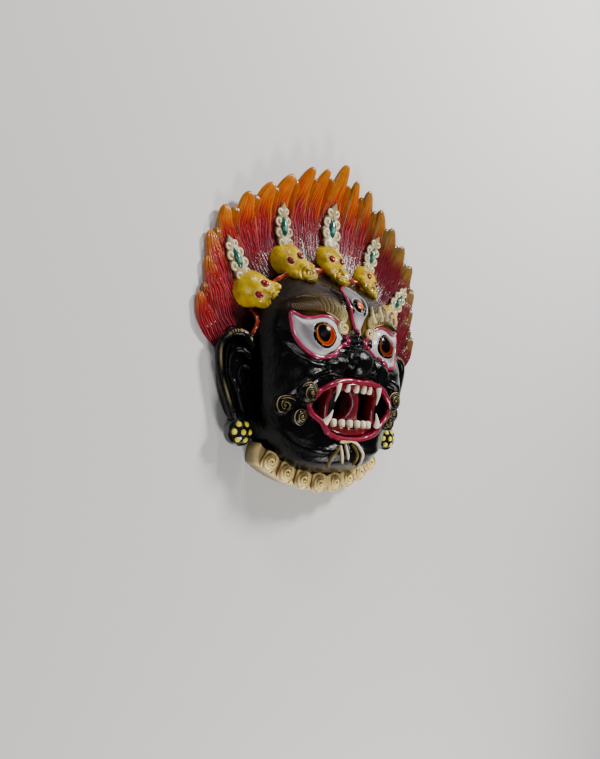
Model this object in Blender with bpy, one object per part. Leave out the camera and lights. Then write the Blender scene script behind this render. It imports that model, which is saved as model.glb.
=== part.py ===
"""Cast metal wall mask: a three-eyed guardian face under a crest of flame hair, hollow behind.

+Z points out of the face, +Y to the crown, +X to the viewer's right. The origin is the middle of the
outline's box, on the plane that the back rim stands on. The carving is laid out as a carver squares up a
drawing, on a grid of GRID_PARTS to the height, so every number in it is a share of the mask's own height.
Walls, the hanging eye and the plane of the rim are plain metres.
"""

import bpy
import numpy as np

# Driving dimensions, in metres. The hanger's edge is the metal left round its hole
HEIGHT = 0.270
FACE_WALL = 0.0032
CREST_WALL = 0.0034
COLLAR_WALL = 0.0042
HANGER_THICKNESS = 0.0030
HANGER_HOLE = 0.0080
HANGER_EDGE = 0.0045

# The carver's grid
GRID_PARTS = 270
PART = HEIGHT / GRID_PARTS

# Steepness of the side walls, and how far the clay reaches below the rim before it is cut flat
WALL_SLOPE = 8
BELOW_RIM = -8

# How finely the casting is faceted
MOULD_STEP = 1.25
CLAY_STEP = 2.0
KEPT_FACES = 0.0325

# Midline of the face without its nose: (height on the grid, depth)
PROFILE = (
    (-124, 6), (-120, 26), (-113, 42), (-104, 48), (-92, 49), (-78, 52), (-54, 56),
    (-40, 54), (-15, 48), (0, 47.5), (12, 45.5), (21, 39), (29, 30), (36, 21), (45, 12), (56, 5),
)
# Half the width of the face at each height on the grid
FACE_HALF_WIDTHS = (
    (-124, 12), (-120, 27), (-112, 43), (-100, 55), (-85, 63), (-60, 69), (-30, 72),
    (-10, 72), (10, 67), (25, 58), (38, 45), (48, 29), (56, 8),
)
FACE_ROUNDNESS = 3.0
# Swellings of the face, and its hollows below zero: centre, spread, height
SWELLINGS = (
    ((50, -43), (15, 14), 5),
    ((0, -103), (15, 8), 4),
    ((30, -93), (9, 12), 3),
    ((27, -15), (16, 12), -3),
    ((36, -50), (5, 12), -2.5),
)

# Crest: a dish about CREST_CENTRE whose valley meets the wall and whose upper edge flares out
CREST_CENTRE = (0, 10)
CREST_VALLEY = 80
CREST_EDGE = 107
CREST_LOWEST = -27
VALLEY_DEPTH = 2.6
# How far the edge flares out at the crown, at what distance, and the angles that the flare grows between
FLARE = 13.5
FLARE_EDGE = 116
FLARE_ANGLES = (20, 62)
# How far the dish rises to the hairline, and over what width
INNER_RISE = 4
INNER_WIDTH = 35
LOCK_THICKNESS = 3.4
# One lock of hair a row: root, bend, tip and half width. The last one is the middle
LOCKS = (
    ((90, -30), (106, -18), (113.5, 7.5), 7.5),
    ((80, -27), (100, 6), (109.8, 35), 8.5),
    ((78, -5), (100, 21.5), (109.8, 53.7), 9.0),
    ((70, 15), (96.6, 44), (100.8, 74.7), 10.0),
    ((62, 25), (86.5, 59), (83.3, 88.7), 10.5),
    ((54, 32), (79, 68), (65, 100.5), 10.5),
    ((44, 40), (67, 76), (47.7, 112), 10.0),
    ((30, 45), (45, 88), (30.3, 123), 9.5),
    ((15, 47), (27, 89), (15.2, 126.8), 8.5),
    ((0, 48), (0, 90), (0, 134.5), 11.0),
)

# Skulls: crown of the cranium and tip of the jaw, right-hand ones and the middle one
SKULLS = (
    ((0, 56.5, 3.5), (0, 33, 29)),
    ((43, 47.5, 3.5), (31.5, 30, 28.5)),
    ((73.5, 17, 4.5), (54, 9, 25)),
)
# The cranium's half size to the side, along the skull and up, and an eye's place from its middle
CRANIUM = (14.8, 16.5, 12)
SKULL_EYE = (5.4, 12.3, 6)
# Jewels: foot, tip and half width
JEWELS = (
    ((0, 66), (0, 105), 10.5),
    ((45.5, 57), (53, 90), 8.8),
    ((80, 25), (97, 52), 8.8),
)

# Half of the mouth's outline, from the middle of the upper lip to the middle of the lower one
MOUTH = (
    (0, -47), (14, -47), (27, -51.5), (36, -58), (41, -66), (38, -73), (30, -79), (24, -86),
    (13, -90), (0, -91),
)
LIP = 2.5
MOUTH_RECESS = 15
# Holes through the floor of the mouth: centre and half size
MOUTH_HOLES = (((32, -65.5), (5.5, 7.5)), ((12.5, -63.5), (6.2, 8.8)))
ABOVE_THE_MOUTH = 75
# Right eye's outline, from the inner corner over the top
EYE = (
    (9, -16), (15, -8.5), (21, -3), (27, -0.5), (34, -0.8), (41, -3), (48, -3.3), (55, -0.5),
    (55, -8), (53, -17), (48.5, -25.5), (42, -31), (34, -32), (25, -28.5), (16, -22),
)
BROW = ((12, -5), (15, 1), (22, 5), (30, 7), (38, 7), (47, 6), (58, 5))
BROW_FLAMES = 5
# Teeth on each side, by their distance from the middle, and the curls: centre and radius
UPPER_TEETH = (3.8, 11.3)
LOWER_TEETH = (3.8, 11, 17.8)
CURLS = (((43.5, -58.5), 8.5), ((56.5, -69), 8), ((45.5, -76), 7))
# Strands of the beard: foot's distance to the right and height
STRANDS = ((-15, -113), (-7, -109), (-2.5, -107), (13.5, -111))
IRIS = (32, -15)
IRIS_RADIUS = 9.2
EYE_BULGE = 7
# The third eye's half width at each height
THIRD_EYE = ((-10, 0), (-4, 3), (2, 5.5), (8, 8), (15, 9.6), (21, 9.4), (26, 7), (29, 3), (30.5, 0))
THIRD_EYE_BULGE = 2.6

COLLAR_CENTRE = (0, -34)
COLLAR_RADIUS = 94
COLLAR_HALF_WIDTH = 7
COLLAR_SPREAD = 42
# The collar's height at its middle, and how much lower its ends are
COLLAR_HEIGHT = 25
COLLAR_FALL = 9
# Petals on each half of the collar, and the turn that one takes
PETALS = 4
PETAL_TURN = 9.6
# Where the hanging eye's middle and its lug's upper end are
HANGER_PLACE = (46, 80)
HANGER_SIDES = 32
EARRING = (76.5, -91, 20)
EARRING_RADIUS = 10.5
BEADS = 7


def hermite(knots, at):
    """A smooth curve through knots of (place, value), read at the places given."""
    places, values = np.array(knots, float).T
    slopes = np.gradient(values, places)
    at = np.clip(at, places[0], places[-1])
    first = np.clip(np.searchsorted(places, at) - 1, 0, len(places) - 2)
    span = places[first + 1] - places[first]
    t = (at - places[first]) / span
    near = (1 + 2 * t) * (1 - t) ** 2 * values[first] + t * (1 - t) ** 2 * span * slopes[first]
    far = t * t * (3 - 2 * t) * values[first + 1] + t * t * (t - 1) * span * slopes[first + 1]
    return near + far


def smooth_step(low, high, value):
    t = np.clip((value - low) / (high - low), 0, 1)
    return t * t * (3 - 2 * t)


def smooth_max(a, b, blend):
    return 0.5 * (a + b + np.sqrt((a - b) ** 2 + blend**2))


def hill(x, y, centre, spread):
    return np.exp(-(((x - centre[0]) / spread[0]) ** 2) - ((y - centre[1]) / spread[1]) ** 2)


def smooth_curve(points, count, closed=False):
    """A Catmull-Rom curve through the points, read at count even steps."""
    points = np.array(points, float)
    if closed:
        padded = np.vstack([points[-1], points, points[:2]])
    else:
        padded = np.vstack([2 * points[0] - points[1], points, 2 * points[-1] - points[-2]])
    spans = len(padded) - 3
    at = np.linspace(0, spans, count, endpoint=not closed)
    first = np.minimum(at.astype(int), spans - 1)
    t = (at - first)[:, None]
    a, b, c, d = (padded[first + step] for step in range(4))
    return 0.5 * (2 * b + (c - a) * t + (2 * a - 5 * b + 4 * c - d) * t**2
                  + (3 * b - a - 3 * c + d) * t**3)


def mirrored_outline(half):
    """A whole outline from its right half."""
    half = np.array(half, float)
    return np.vstack([half, half[-2:0:-1] * (-1, 1)])


def inside_depth(x, y, outline):
    """How far each place is inside the outline, below zero outside it."""
    ends = np.roll(outline, -1, axis=0)
    nearest = np.full(np.shape(x), np.inf)
    inside = np.zeros(np.shape(x), bool)
    for start, end in zip(outline, ends):
        run = end - start
        share = ((x - start[0]) * run[0] + (y - start[1]) * run[1]) / (run @ run)
        share = np.clip(share, 0, 1)
        gap = np.hypot(x - start[0] - share * run[0], y - start[1] - share * run[1])
        nearest = np.minimum(nearest, gap)
        crosses = (start[1] > y) != (end[1] > y)
        rise = run[1] if run[1] else 1.0
        inside ^= crosses & (x < start[0] + (y - start[1]) * run[0] / rise)
    return np.where(inside, nearest, -nearest)


def within(top, inside):
    """The form's top up to its edge, then a steep wall down to below the rim."""
    return np.maximum(np.minimum(top, WALL_SLOPE * inside), BELOW_RIM)


def face_form(x, y):
    """The face without lids, lips, brows and teeth; below the rim outside it."""
    across = np.abs(x)
    share = across / np.maximum(hermite(FACE_HALF_WIDTHS, y), 1)
    dome = hermite(PROFILE, y) * np.clip(1 - share**FACE_ROUNDNESS, 0, 1) ** 0.45
    for centre, spread, height in SWELLINGS:
        dome += height * hill(across, y, centre, spread)
    eye = inside_depth(across, y, smooth_curve(EYE, 45, closed=True))
    dome += EYE_BULGE * np.sin(np.pi / 2 * np.clip(eye / 15, 0, 1))
    leaf = hermite(THIRD_EYE, y)
    across_leaf = np.clip(1 - (x / np.maximum(leaf, 0.1)) ** 2, 0, 1) ** 0.5
    dome += THIRD_EYE_BULGE * np.clip(leaf / 4, 0, 1) * across_leaf
    recess = inside_depth(x, y, smooth_curve(mirrored_outline(MOUTH), 60, closed=True))
    dome -= MOUTH_RECESS * smooth_step(0, 7, recess)
    edge = np.minimum(y - PROFILE[0][0], PROFILE[-1][0] - y)
    return within(dome, np.minimum(edge, 60 * (1 - share)))


def crest_form(x, y):
    """The dish that carries the hair; below the rim under the ears."""
    away = np.hypot(x - CREST_CENTRE[0], y - CREST_CENTRE[1])
    angle = np.degrees(np.arctan2(y - CREST_CENTRE[1], np.abs(x)))
    flare = FLARE * smooth_step(*FLARE_ANGLES, angle)
    outer = np.clip((away - CREST_VALLEY) / (FLARE_EDGE - CREST_VALLEY), 0, 1.3) ** 1.5
    inner = np.clip((CREST_VALLEY - away) / INNER_WIDTH, 0, 1) ** 1.6
    depth = VALLEY_DEPTH + flare * outer + INNER_RISE * inner
    return within(depth, np.radians(angle - CREST_LOWEST) * away)


def collar_form(x, y, half_width=COLLAR_HALF_WIDTH, lower=0):
    """The collar's bank, without its petals."""
    away = np.hypot(x - COLLAR_CENTRE[0], y - COLLAR_CENTRE[1])
    turn = np.degrees(np.arctan2(np.abs(x), COLLAR_CENTRE[1] - y))
    edge = np.minimum(half_width - np.abs(away - COLLAR_RADIUS), np.radians(COLLAR_SPREAD - turn) * away)
    return within(collar_depth(turn) - lower, edge)


def collar_depth(turn):
    """How high the collar stands, at degrees from its middle."""
    return COLLAR_HEIGHT - COLLAR_FALL * (turn / COLLAR_SPREAD) ** 1.5


def front(x, y):
    """The casting's main form, on which the carving sits."""
    return smooth_max(np.maximum(face_form(x, y), collar_form(x, y)), crest_form(x, y), 1.5)


def plate_form(x, y):
    """The main form, with the crest cut off where its locks part from each other."""
    away = np.hypot(x - CREST_CENTRE[0], y - CREST_CENTRE[1])
    crest = within(crest_form(x, y), CREST_EDGE - away)
    return smooth_max(np.maximum(face_form(x, y), collar_form(x, y)), crest, 1.5)


def offset_inwards(form, x, y, wall):
    """The form moved in by the wall, measured square to it, as a depth at each place."""
    step = 0.7
    slope_x = (form(x + step, y) - form(x - step, y)) / (2 * step)
    slope_y = (form(x, y + step) - form(x, y - step)) / (2 * step)
    steep = np.minimum(slope_x**2 + slope_y**2, 20)
    return form(x, y) - wall * np.sqrt(1 + steep)


def hollow_form(x, y):
    """The inner surface of the casting."""
    face = offset_inwards(face_form, x, y, FACE_WALL / PART)
    crest = offset_inwards(crest_form, x, y, CREST_WALL / PART)
    collar = collar_form(x, y, COLLAR_HALF_WIDTH - COLLAR_WALL / PART, 1.4 * COLLAR_WALL / PART)
    inner = np.maximum(np.maximum(face, crest), np.maximum(collar, BELOW_RIM))
    for centre, half_size in MOUTH_HOLES:
        across = np.hypot((np.abs(x) - centre[0]) / half_size[0], (y - centre[1]) / half_size[1])
        inner = np.where(across < 1, ABOVE_THE_MOUTH, inner)
    return inner


class Clay:
    """Closed bodies gathered into one mesh, in grid parts."""

    def __init__(self):
        self.points = []
        self.faces = []
        self.count = 0

    def add(self, body, mirror=False):
        points, faces = body
        self.points.append(points)
        self.faces.extend((np.array(face) + self.count).tolist() for face in faces)
        self.count += len(points)
        if mirror:
            self.add((points * (-1, 1, 1), [tuple(reversed(face)) for face in faces]))

    def to_object(self, name):
        mesh = bpy.data.meshes.new(name)
        mesh.from_pydata((np.vstack(self.points) * PART).tolist(), [], self.faces)
        mesh.update()
        made = bpy.data.objects.new(name, mesh)
        bpy.context.scene.collection.objects.link(made)
        return made


def slab(form, floor, step):
    """A closed body from a level floor up to the form, over the whole outline's box."""
    xs = np.arange(-132, 132 + step, step)
    ys = np.arange(-144, 144 + step, step)
    x, y = np.meshgrid(xs, ys, indexing="ij")
    top = np.maximum(form(x, y), floor + 1)
    upper = np.stack([x, y, top], -1).reshape(-1, 3)
    lower = np.stack([x, y, np.full_like(x, floor)], -1).reshape(-1, 3)
    columns, rows = x.shape
    index = np.arange(columns * rows).reshape(columns, rows)
    under = index + columns * rows
    quads = np.stack([index[:-1, :-1], index[1:, :-1], index[1:, 1:], index[:-1, 1:]], -1)
    faces = quads.reshape(-1, 4).tolist()
    faces += (quads.reshape(-1, 4)[:, ::-1] + columns * rows).tolist()
    rim = np.concatenate([index[:, 0], index[-1, 1:], index[-2::-1, -1], index[0, -2:0:-1]])
    rim_under = np.concatenate([under[:, 0], under[-1, 1:], under[-2::-1, -1], under[0, -2:0:-1]])
    after = np.roll(np.arange(len(rim)), -1)
    faces += [(rim_under[i], rim_under[after[i]], rim[after[i]], rim[i]) for i in range(len(rim))]
    return np.vstack([upper, lower]), faces


def sweep(path, wide, thick, up=(0, 0, 1), sides=10, power=1.0, closed=False):
    """A closed body of flattened round section along a path. The widths are half widths."""
    path = np.array(path, float)
    count = len(path)
    wide = np.broadcast_to(wide, count)
    thick = np.broadcast_to(thick, count)
    if closed:
        along = np.roll(path, -1, axis=0) - np.roll(path, 1, axis=0)
    else:
        along = np.gradient(path, axis=0)
    along /= np.linalg.norm(along, axis=1, keepdims=True)
    side = np.cross(np.broadcast_to(np.array(up, float), path.shape), along)
    side /= np.linalg.norm(side, axis=1, keepdims=True)
    lift = np.cross(along, side)
    turn = np.arange(sides) * 2 * np.pi / sides
    across = np.sign(np.cos(turn)) * np.abs(np.cos(turn)) ** power
    upward = np.sign(np.sin(turn)) * np.abs(np.sin(turn)) ** power
    rings = (path[:, None] + side[:, None] * (wide[:, None] * across)[..., None]
             + lift[:, None] * (thick[:, None] * upward)[..., None])
    points = rings.reshape(-1, 3)
    index = np.arange(count * sides).reshape(count, sides)
    after = np.roll(index, -1, axis=1)
    if closed:
        pairs = [(i, (i + 1) % count) for i in range(count)]
    else:
        pairs = [(i, i + 1) for i in range(count - 1)]
    faces = [
        (index[i, j], after[i, j], after[k, j], index[k, j]) for i, k in pairs for j in range(sides)
    ]
    if not closed:
        points = np.vstack([points, path[0], path[-1]])
        first, last = count * sides, count * sides + 1
        faces += [(after[0, j], index[0, j], first) for j in range(sides)]
        faces += [(index[-1, j], after[-1, j], last) for j in range(sides)]
    return points, faces


def rounded(count, start, end):
    """Shares of a half width along a body whose first and last stretches round off to its ends."""
    along = np.linspace(0, 1, count)
    share = np.ones(count)
    if start:
        share *= np.sqrt(np.clip(1 - np.clip(1 - along / start, 0, 1) ** 2, 0.02, 1))
    if end:
        share *= np.sqrt(np.clip(1 - np.clip(1 - (1 - along) / end, 0, 1) ** 2, 0.02, 1))
    return share


def ellipsoid(centre, radii, axis=(0, 1, 0), up=(0, 0, 1), rings=9, sides=12):
    """A closed ellipsoid: radii are across, along the axis and up."""
    centre = np.array(centre, float)
    axis = np.array(axis, float) / np.linalg.norm(axis)
    turn = np.linspace(0, np.pi, rings + 2)[1:-1]
    path = centre - np.cos(turn)[:, None] * axis * radii[1]
    points, faces = sweep(path, radii[0] * np.sin(turn), radii[2] * np.sin(turn), up, sides)
    points[-2] = centre - axis * radii[1]
    points[-1] = centre + axis * radii[1]
    return points, faces


def on_front(places, lift):
    """Points over the main form at the places given."""
    places = np.array(places, float)
    depth = front(places[:, 0], places[:, 1]) + lift
    return np.column_stack([places, depth])


def lock(root, bend, tip, half_width, count=14):
    """A lock of hair: out from the hairline, then bending to the crown."""
    root, bend, tip = np.array([root, bend, tip], float)
    along = np.linspace(0, 1, count)
    t = along[:, None]
    places = (1 - t) ** 2 * root + 2 * t * (1 - t) * bend + t**2 * tip
    wide = half_width * (0.6 + 0.4 * smooth_step(0, 0.5, along)) * rounded(count, 0, 0.3)
    thick = LOCK_THICKNESS * (0.3 + 0.7 * smooth_step(0.1, 0.6, along)) * rounded(count, 0, 0.12)
    depth = crest_form(places[:, 0], places[:, 1]) + 0.2
    return sweep(np.column_stack([places, depth]), wide, thick, power=0.8)


def add_crest(clay):
    for side_lock in LOCKS[:-1]:
        clay.add(lock(*side_lock), mirror=True)
    clay.add(lock(*LOCKS[-1]))


def skull(crown, jaw):
    """A skull that looks along the line from its crown to its jaw."""
    crown = np.array(crown, float)
    jaw = np.array(jaw, float)
    look = (jaw - crown) / np.linalg.norm(jaw - crown)
    side = np.cross(look, (0, 0, 1))
    side /= np.linalg.norm(side)
    up = np.cross(side, look)
    reach = np.linalg.norm(jaw - crown)
    bodies = [ellipsoid(crown, CRANIUM, look, up)]
    bodies.append(ellipsoid(crown + look * reach * 0.42, (12, reach * 0.34, 7.5), look, up))
    bodies.append(ellipsoid(crown + look * reach * 0.68 - up * 0.5, (9.5, reach * 0.3, 5), look, up))
    bodies.append(ellipsoid(jaw - look * 3, (6, 5.5, 2.8), look, up))
    aside, ahead, above = SKULL_EYE
    for hand in (-1, 1):
        eye = crown + look * ahead + up * above + side * hand * aside
        bodies.append(ellipsoid(eye, (3.4, 3.4, 2.8), look, up, 5, 8))
    return bodies


def add_skulls(clay):
    for number, (crown, jaw) in enumerate(SKULLS):
        for body in skull(crown, jaw):
            clay.add(body, mirror=number > 0)


def scroll(centre, radius, thick, depth, sides=6):
    """A scroll, as a ring."""
    turn = np.arange(10) * 2 * np.pi / 10
    ring = np.column_stack([
        centre[0] + radius * np.cos(turn), centre[1] + radius * np.sin(turn), np.full(10, depth)
    ])
    return sweep(ring, thick, thick, sides=sides, closed=True)


def jewel(foot, tip, half_width):
    """A leaf-shaped jewel of three pairs of scrolls round a drop-shaped stone."""
    foot = np.array(foot, float)
    tip = np.array(tip, float)
    run = tip - foot
    length = np.linalg.norm(run)
    run /= length
    side = np.array([run[1], -run[0]])
    along = np.linspace(0, 1, 9)
    spine = foot + run * along[:, None] * length
    leaf = half_width * np.sin(np.pi * np.clip(0.22 + 0.78 * along, 0, 1)) ** 0.7
    bodies = [sweep(on_front(spine, 1.5), np.maximum(leaf, 1.5), 2.6, sides=12)]
    for share, out, radius in ((0.2, 0.55, 4.0), (0.47, 0.62, 4.4), (0.74, 0.42, 3.6)):
        for hand in (-1, 1):
            place = foot + run * share * length + side * hand * out * half_width
            depth = on_front([place], 3.6)[0, 2]
            bodies.append(scroll(place, radius * half_width / 12, 1.3, depth))
    stone = on_front([foot + run * length * 0.48], 3.4)[0]
    bodies.append(ellipsoid(stone, (3.2, length * 0.16, 2.6), (*run, 0)))
    return bodies


def add_jewels(clay):
    for number, (foot, tip, half_width) in enumerate(JEWELS):
        for body in jewel(foot, tip, half_width):
            clay.add(body, mirror=number > 0)


def add_ribbon(clay):
    """The flat ribbon that links the skulls, with an end that hangs before each ear."""
    link = on_front(smooth_curve([(72, 14), (60, 22), (45, 33), (22, 41), (0, 43)], 20), 0.8)
    clay.add(sweep(link, 2.6, 1.2, sides=8), mirror=True)
    end = on_front(smooth_curve([(70, 8), (69.5, -6), (71.5, -22)], 10), 1)
    clay.add(sweep(end, 2.6 * rounded(10, 0.1, 0.1), 1.4, sides=8), mirror=True)


def add_eyes(clay):
    """Lids round the bulging eyes, and the irises. The bulge itself belongs to the face."""
    outline = smooth_curve(EYE, 45, closed=True)
    clay.add(sweep(on_front(outline, 1.0), 2.0, 2.2, sides=8, closed=True), mirror=True)
    iris = on_front([IRIS], -1.2)[0]
    clay.add(ellipsoid(iris, (IRIS_RADIUS, 10, 3.4), (0, 1, 0.1)), mirror=True)
    clay.add(ellipsoid(on_front([(0, 13)], 0)[0], (4.6, 5.4, 2.2), (0, 1, -0.3)))


def add_brows(clay):
    """A brow that curls at its inner end and breaks into flames above the eye."""
    line = on_front(smooth_curve(BROW, 22), 1.2)
    wide = 5 * rounded(22, 0.15, 0.5)
    clay.add(sweep(line, wide, 3.0), mirror=True)
    clay.add(ellipsoid(on_front([(13, -7.5)], 1)[0], (4.6, 5.2, 3.4)), mirror=True)
    for number in range(BROW_FLAMES):
        x = 22 + 7.5 * number
        flame = on_front(smooth_curve([(x, 5), (x + 1, 10), (x + 4, 15 - number)], 7), 0.6)
        clay.add(sweep(flame, 2.8 * rounded(7, 0, 0.6), 2.2, sides=8), mirror=True)


def add_nose(clay):
    bridge = on_front(smooth_curve([(0, -11), (0, -20), (0, -29)], 9), -1)
    clay.add(sweep(bridge, np.linspace(6, 10, 9), np.linspace(3, 7, 9)))
    clay.add(ellipsoid((0, -32, 52), (14, 11, 11)))
    clay.add(ellipsoid((19, -34.5, 48), (13, 9, 10.5), (0.3, 1, 0)), mirror=True)
    for number in range(3):
        y = -13 - 4.5 * number
        fold = on_front(smooth_curve([(3, y), (9, y - 1.5), (15, y + 2.5)], 7), 1.6)
        clay.add(sweep(fold, 1.8 * rounded(7, 0.3, 0.4), 2.4, sides=8), mirror=True)


def add_mouth(clay):
    outline = smooth_curve(mirrored_outline(MOUTH), 64, closed=True)
    depth = front(outline[:, 0] * 1.06, (outline[:, 1] + 68) * 1.06 - 68) + 0.6
    clay.add(sweep(np.column_stack([outline, depth]), LIP, LIP, sides=10, closed=True))
    palate = smooth_curve([(-24, -55, 48), (-12, -51, 52), (0, -50, 53), (12, -51, 52), (24, -55, 48)], 16)
    clay.add(sweep(palate, 3.6, 4.2, sides=8))
    gum = smooth_curve([(-24, -80, 43), (-12, -84, 46), (0, -85, 47), (12, -84, 46), (24, -80, 43)], 16)
    clay.add(sweep(gum, 4.2, 4.2, sides=8))
    tongue = smooth_curve([(0, -82, 43), (0, -74, 48), (0, -64, 51), (0, -54, 49)], 12)
    clay.add(sweep(tongue, np.linspace(14, 4.2, 12), 3.4))
    for x in UPPER_TEETH:
        clay.add(ellipsoid((x, -52, 57 - x * x / 90), (2.9, 4.2, 2.6), rings=6, sides=8), mirror=True)
    for x in LOWER_TEETH:
        clay.add(ellipsoid((x, -79, 52 - x * x / 90), (3.0, 4.0, 2.6), rings=6, sides=8), mirror=True)
    upper = smooth_curve([(21, -51, 55.5), (21.3, -57, 55.5), (21.5, -62, 54)], 8)
    clay.add(sweep(upper, np.linspace(3.2, 0.8, 8), np.linspace(3, 0.8, 8), sides=8), mirror=True)
    lower = smooth_curve([(27, -79, 50.5), (24.5, -75, 52.5), (22.3, -70, 53.5)], 8)
    clay.add(sweep(lower, np.linspace(3.6, 1, 8), np.linspace(3.2, 1, 8), sides=8), mirror=True)
    web = smooth_curve([(23, -54, 48), (24, -66, 44), (24, -78, 44)], 8)
    clay.add(sweep(web, 2.6, 5, sides=8), mirror=True)


def add_curls(clay):
    for place, radius in CURLS:
        turn = np.arange(20) * 2 * np.pi / 20
        away = radius - 1.8
        ring = np.column_stack([place[0] + away * np.cos(turn), place[1] + away * np.sin(turn)])
        clay.add(sweep(on_front(ring, 1.2), 1.9, 3.2, sides=8, closed=True), mirror=True)
        clay.add(ellipsoid(on_front([place], 2)[0], (2.8, 2.8, 3)), mirror=True)


def add_beard(clay):
    for x, low in STRANDS:
        line = on_front(smooth_curve([(x * 0.45, -94.5), (x * 0.8, -101), (x, low)], 8), 0.8)
        clay.add(sweep(line, 1.7 * rounded(8, 0.3, 0.6), 2.0, sides=8))


def add_ears(clay):
    """Long ears: a shell, a raised rim round it and the lobe that the roundel hangs on."""
    clay.add(ellipsoid((79, -50, 3), (18, 38, 9), (0.2, 1, 0)), mirror=True)
    rim = [(72, -28, 15), (80, -19, 14), (91, -20, 12), (98, -30, 9), (97, -48, 8), (90, -66, 9),
           (82, -82, 12)]
    clay.add(sweep(smooth_curve(rim, 24), 3.4, 3.6, sides=8), mirror=True)
    fold = [(73, -36, 14), (80, -31, 13), (87, -34, 11), (87, -48, 9), (80, -62, 11), (76, -76, 14)]
    clay.add(sweep(smooth_curve(fold, 18), 2.6, 3.0, sides=8), mirror=True)
    x, y, top = EARRING
    clay.add(ellipsoid((x, y, top * 0.5), (EARRING_RADIUS, EARRING_RADIUS, top * 0.5)), mirror=True)
    clay.add(ellipsoid((x - 3, y + 8, 6), (9, 13, 8)), mirror=True)
    for number in range(BEADS):
        turn = number * 2 * np.pi / (BEADS - 1)
        away = 6.4 if number else 0
        bead = (x + away * np.cos(turn), y + away * np.sin(turn), top - (2.6 if number else 0.4))
        clay.add(ellipsoid(bead, (2.4, 2.4, 2.2), rings=5, sides=8), mirror=True)


def add_collar(clay):
    """Petals along the collar, each with a curl on it."""
    for number in range(PETALS):
        turn = np.radians(PETAL_TURN * (number + 0.5))
        out = np.array([np.sin(turn), -np.cos(turn)])
        places = np.array(COLLAR_CENTRE) + out * np.array([[86.5], [92], [97.5], [101]])
        depth = collar_depth(np.degrees(turn))
        heights = depth + np.array([0, 1.2, 0.9, -1.2])
        petal = smooth_curve(np.column_stack([places, heights]), 9)
        wide = COLLAR_RADIUS * np.radians(PETAL_TURN) / 2 - 0.2
        clay.add(sweep(petal, wide * rounded(9, 0.12, 0.5), 2.4, sides=12, power=0.7), mirror=True)
        middle = np.array(COLLAR_CENTRE) + out * 94
        clay.add(scroll(middle, 3.8, 1.3, depth + 3.2), mirror=True)


def hanger():
    """A lug inside the hollow's upper edge with a round eye for a wire or a hook, as one plate."""
    thick = HANGER_THICKNESS / PART
    hole = HANGER_HOLE / 2 / PART
    rim = hole + HANGER_EDGE / PART
    low, high = HANGER_PLACE
    turn = (np.arange(HANGER_SIDES) + 0.5) * 2 * np.pi / HANGER_SIDES
    round_about = np.column_stack([np.cos(turn), np.sin(turn)])
    to_side = rim / np.maximum(np.abs(round_about[:, 0]), 1e-6)
    to_end = (high - low) / np.maximum(round_about[:, 1], 1e-6)
    reach = np.where(round_about[:, 1] > 0, np.minimum(to_side, to_end), rim)
    middle = np.array([0, low])
    corners = [(reach, -thick), (reach, thick), (hole, thick), (hole, -thick)]
    rings = [
        np.column_stack([middle + round_about * np.reshape(away, (-1, 1)), np.full(HANGER_SIDES, depth)])
        for away, depth in corners
    ]
    faces = []
    for ring in range(4):
        for side in range(HANGER_SIDES):
            after = (side + 1) % HANGER_SIDES
            near, far = ring * HANGER_SIDES, (ring + 1) % 4 * HANGER_SIDES
            faces.append((near + side, near + after, far + after, far + side))
    return np.vstack(rings), faces


def cutter(name, clay):
    made = clay.to_object(name)
    made.hide_render = True
    made.display_type = "WIRE"
    return made


def box(low, high):
    corners = [(x, y, z) for x in (low[0], high[0]) for y in (low[1], high[1]) for z in (low[2], high[2])]
    faces = [(0, 1, 3, 2), (4, 6, 7, 5), (0, 4, 5, 1), (2, 3, 7, 6), (0, 2, 6, 4), (1, 5, 7, 3)]
    return np.array(corners, float), faces


def add_boolean(target, name, operation, other):
    step = target.modifiers.new(name, "BOOLEAN")
    step.operation = operation
    step.object = other
    step.solver = "EXACT"


def add_remesh(target, name):
    step = target.modifiers.new(name, "REMESH")
    step.mode = "VOXEL"
    step.voxel_size = MOULD_STEP * PART


def paint(name, colour, roughness, metallic):
    material = bpy.data.materials.new(name)
    material.use_nodes = True
    shader = material.node_tree.nodes["Principled BSDF"]
    shader.inputs["Base Color"].default_value = (*colour, 1)
    shader.inputs["Roughness"].default_value = roughness
    shader.inputs["Metallic"].default_value = metallic
    return material


def build():
    for old in list(bpy.data.objects):
        bpy.data.objects.remove(old)
    clay = Clay()
    clay.add(slab(plate_form, BELOW_RIM - 1, CLAY_STEP))
    for add_form in (add_crest, add_skulls, add_jewels, add_ribbon, add_eyes, add_brows, add_nose,
                     add_mouth, add_curls, add_beard, add_ears, add_collar):
        add_form(clay)
    mask = clay.to_object("mask")
    mask.data.materials.append(paint("black lacquer on brass", (0.012, 0.011, 0.012), 0.22, 0.0))

    hollow = Clay()
    hollow.add(slab(hollow_form, BELOW_RIM - 6, CLAY_STEP))
    below = Clay()
    below.add(box((-160, -170, -40), (160, 170, 0)))

    add_remesh(mask, "pour in one")
    add_boolean(mask, "hollow back", "DIFFERENCE", cutter("hollow", hollow))
    lug = Clay()
    lug.add(hanger())
    add_boolean(mask, "hanging eye", "UNION", cutter("hanger", lug))
    add_remesh(mask, "even skin")
    fewer = mask.modifiers.new("facets", "DECIMATE")
    fewer.ratio = KEPT_FACES
    add_boolean(mask, "rim plane", "DIFFERENCE", cutter("below the rim", below))


build()
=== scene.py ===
"""The painted look of the metal wall mask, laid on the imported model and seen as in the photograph.

Lengths are in millimetres in the part's own frame until a piece is made, and so are the repeated forms of
the casting: +Z out of the face, +Y to the crown, +X to the viewer's right.
"""

import bpy
import numpy as np
from mathutils import Matrix, Vector


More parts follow.
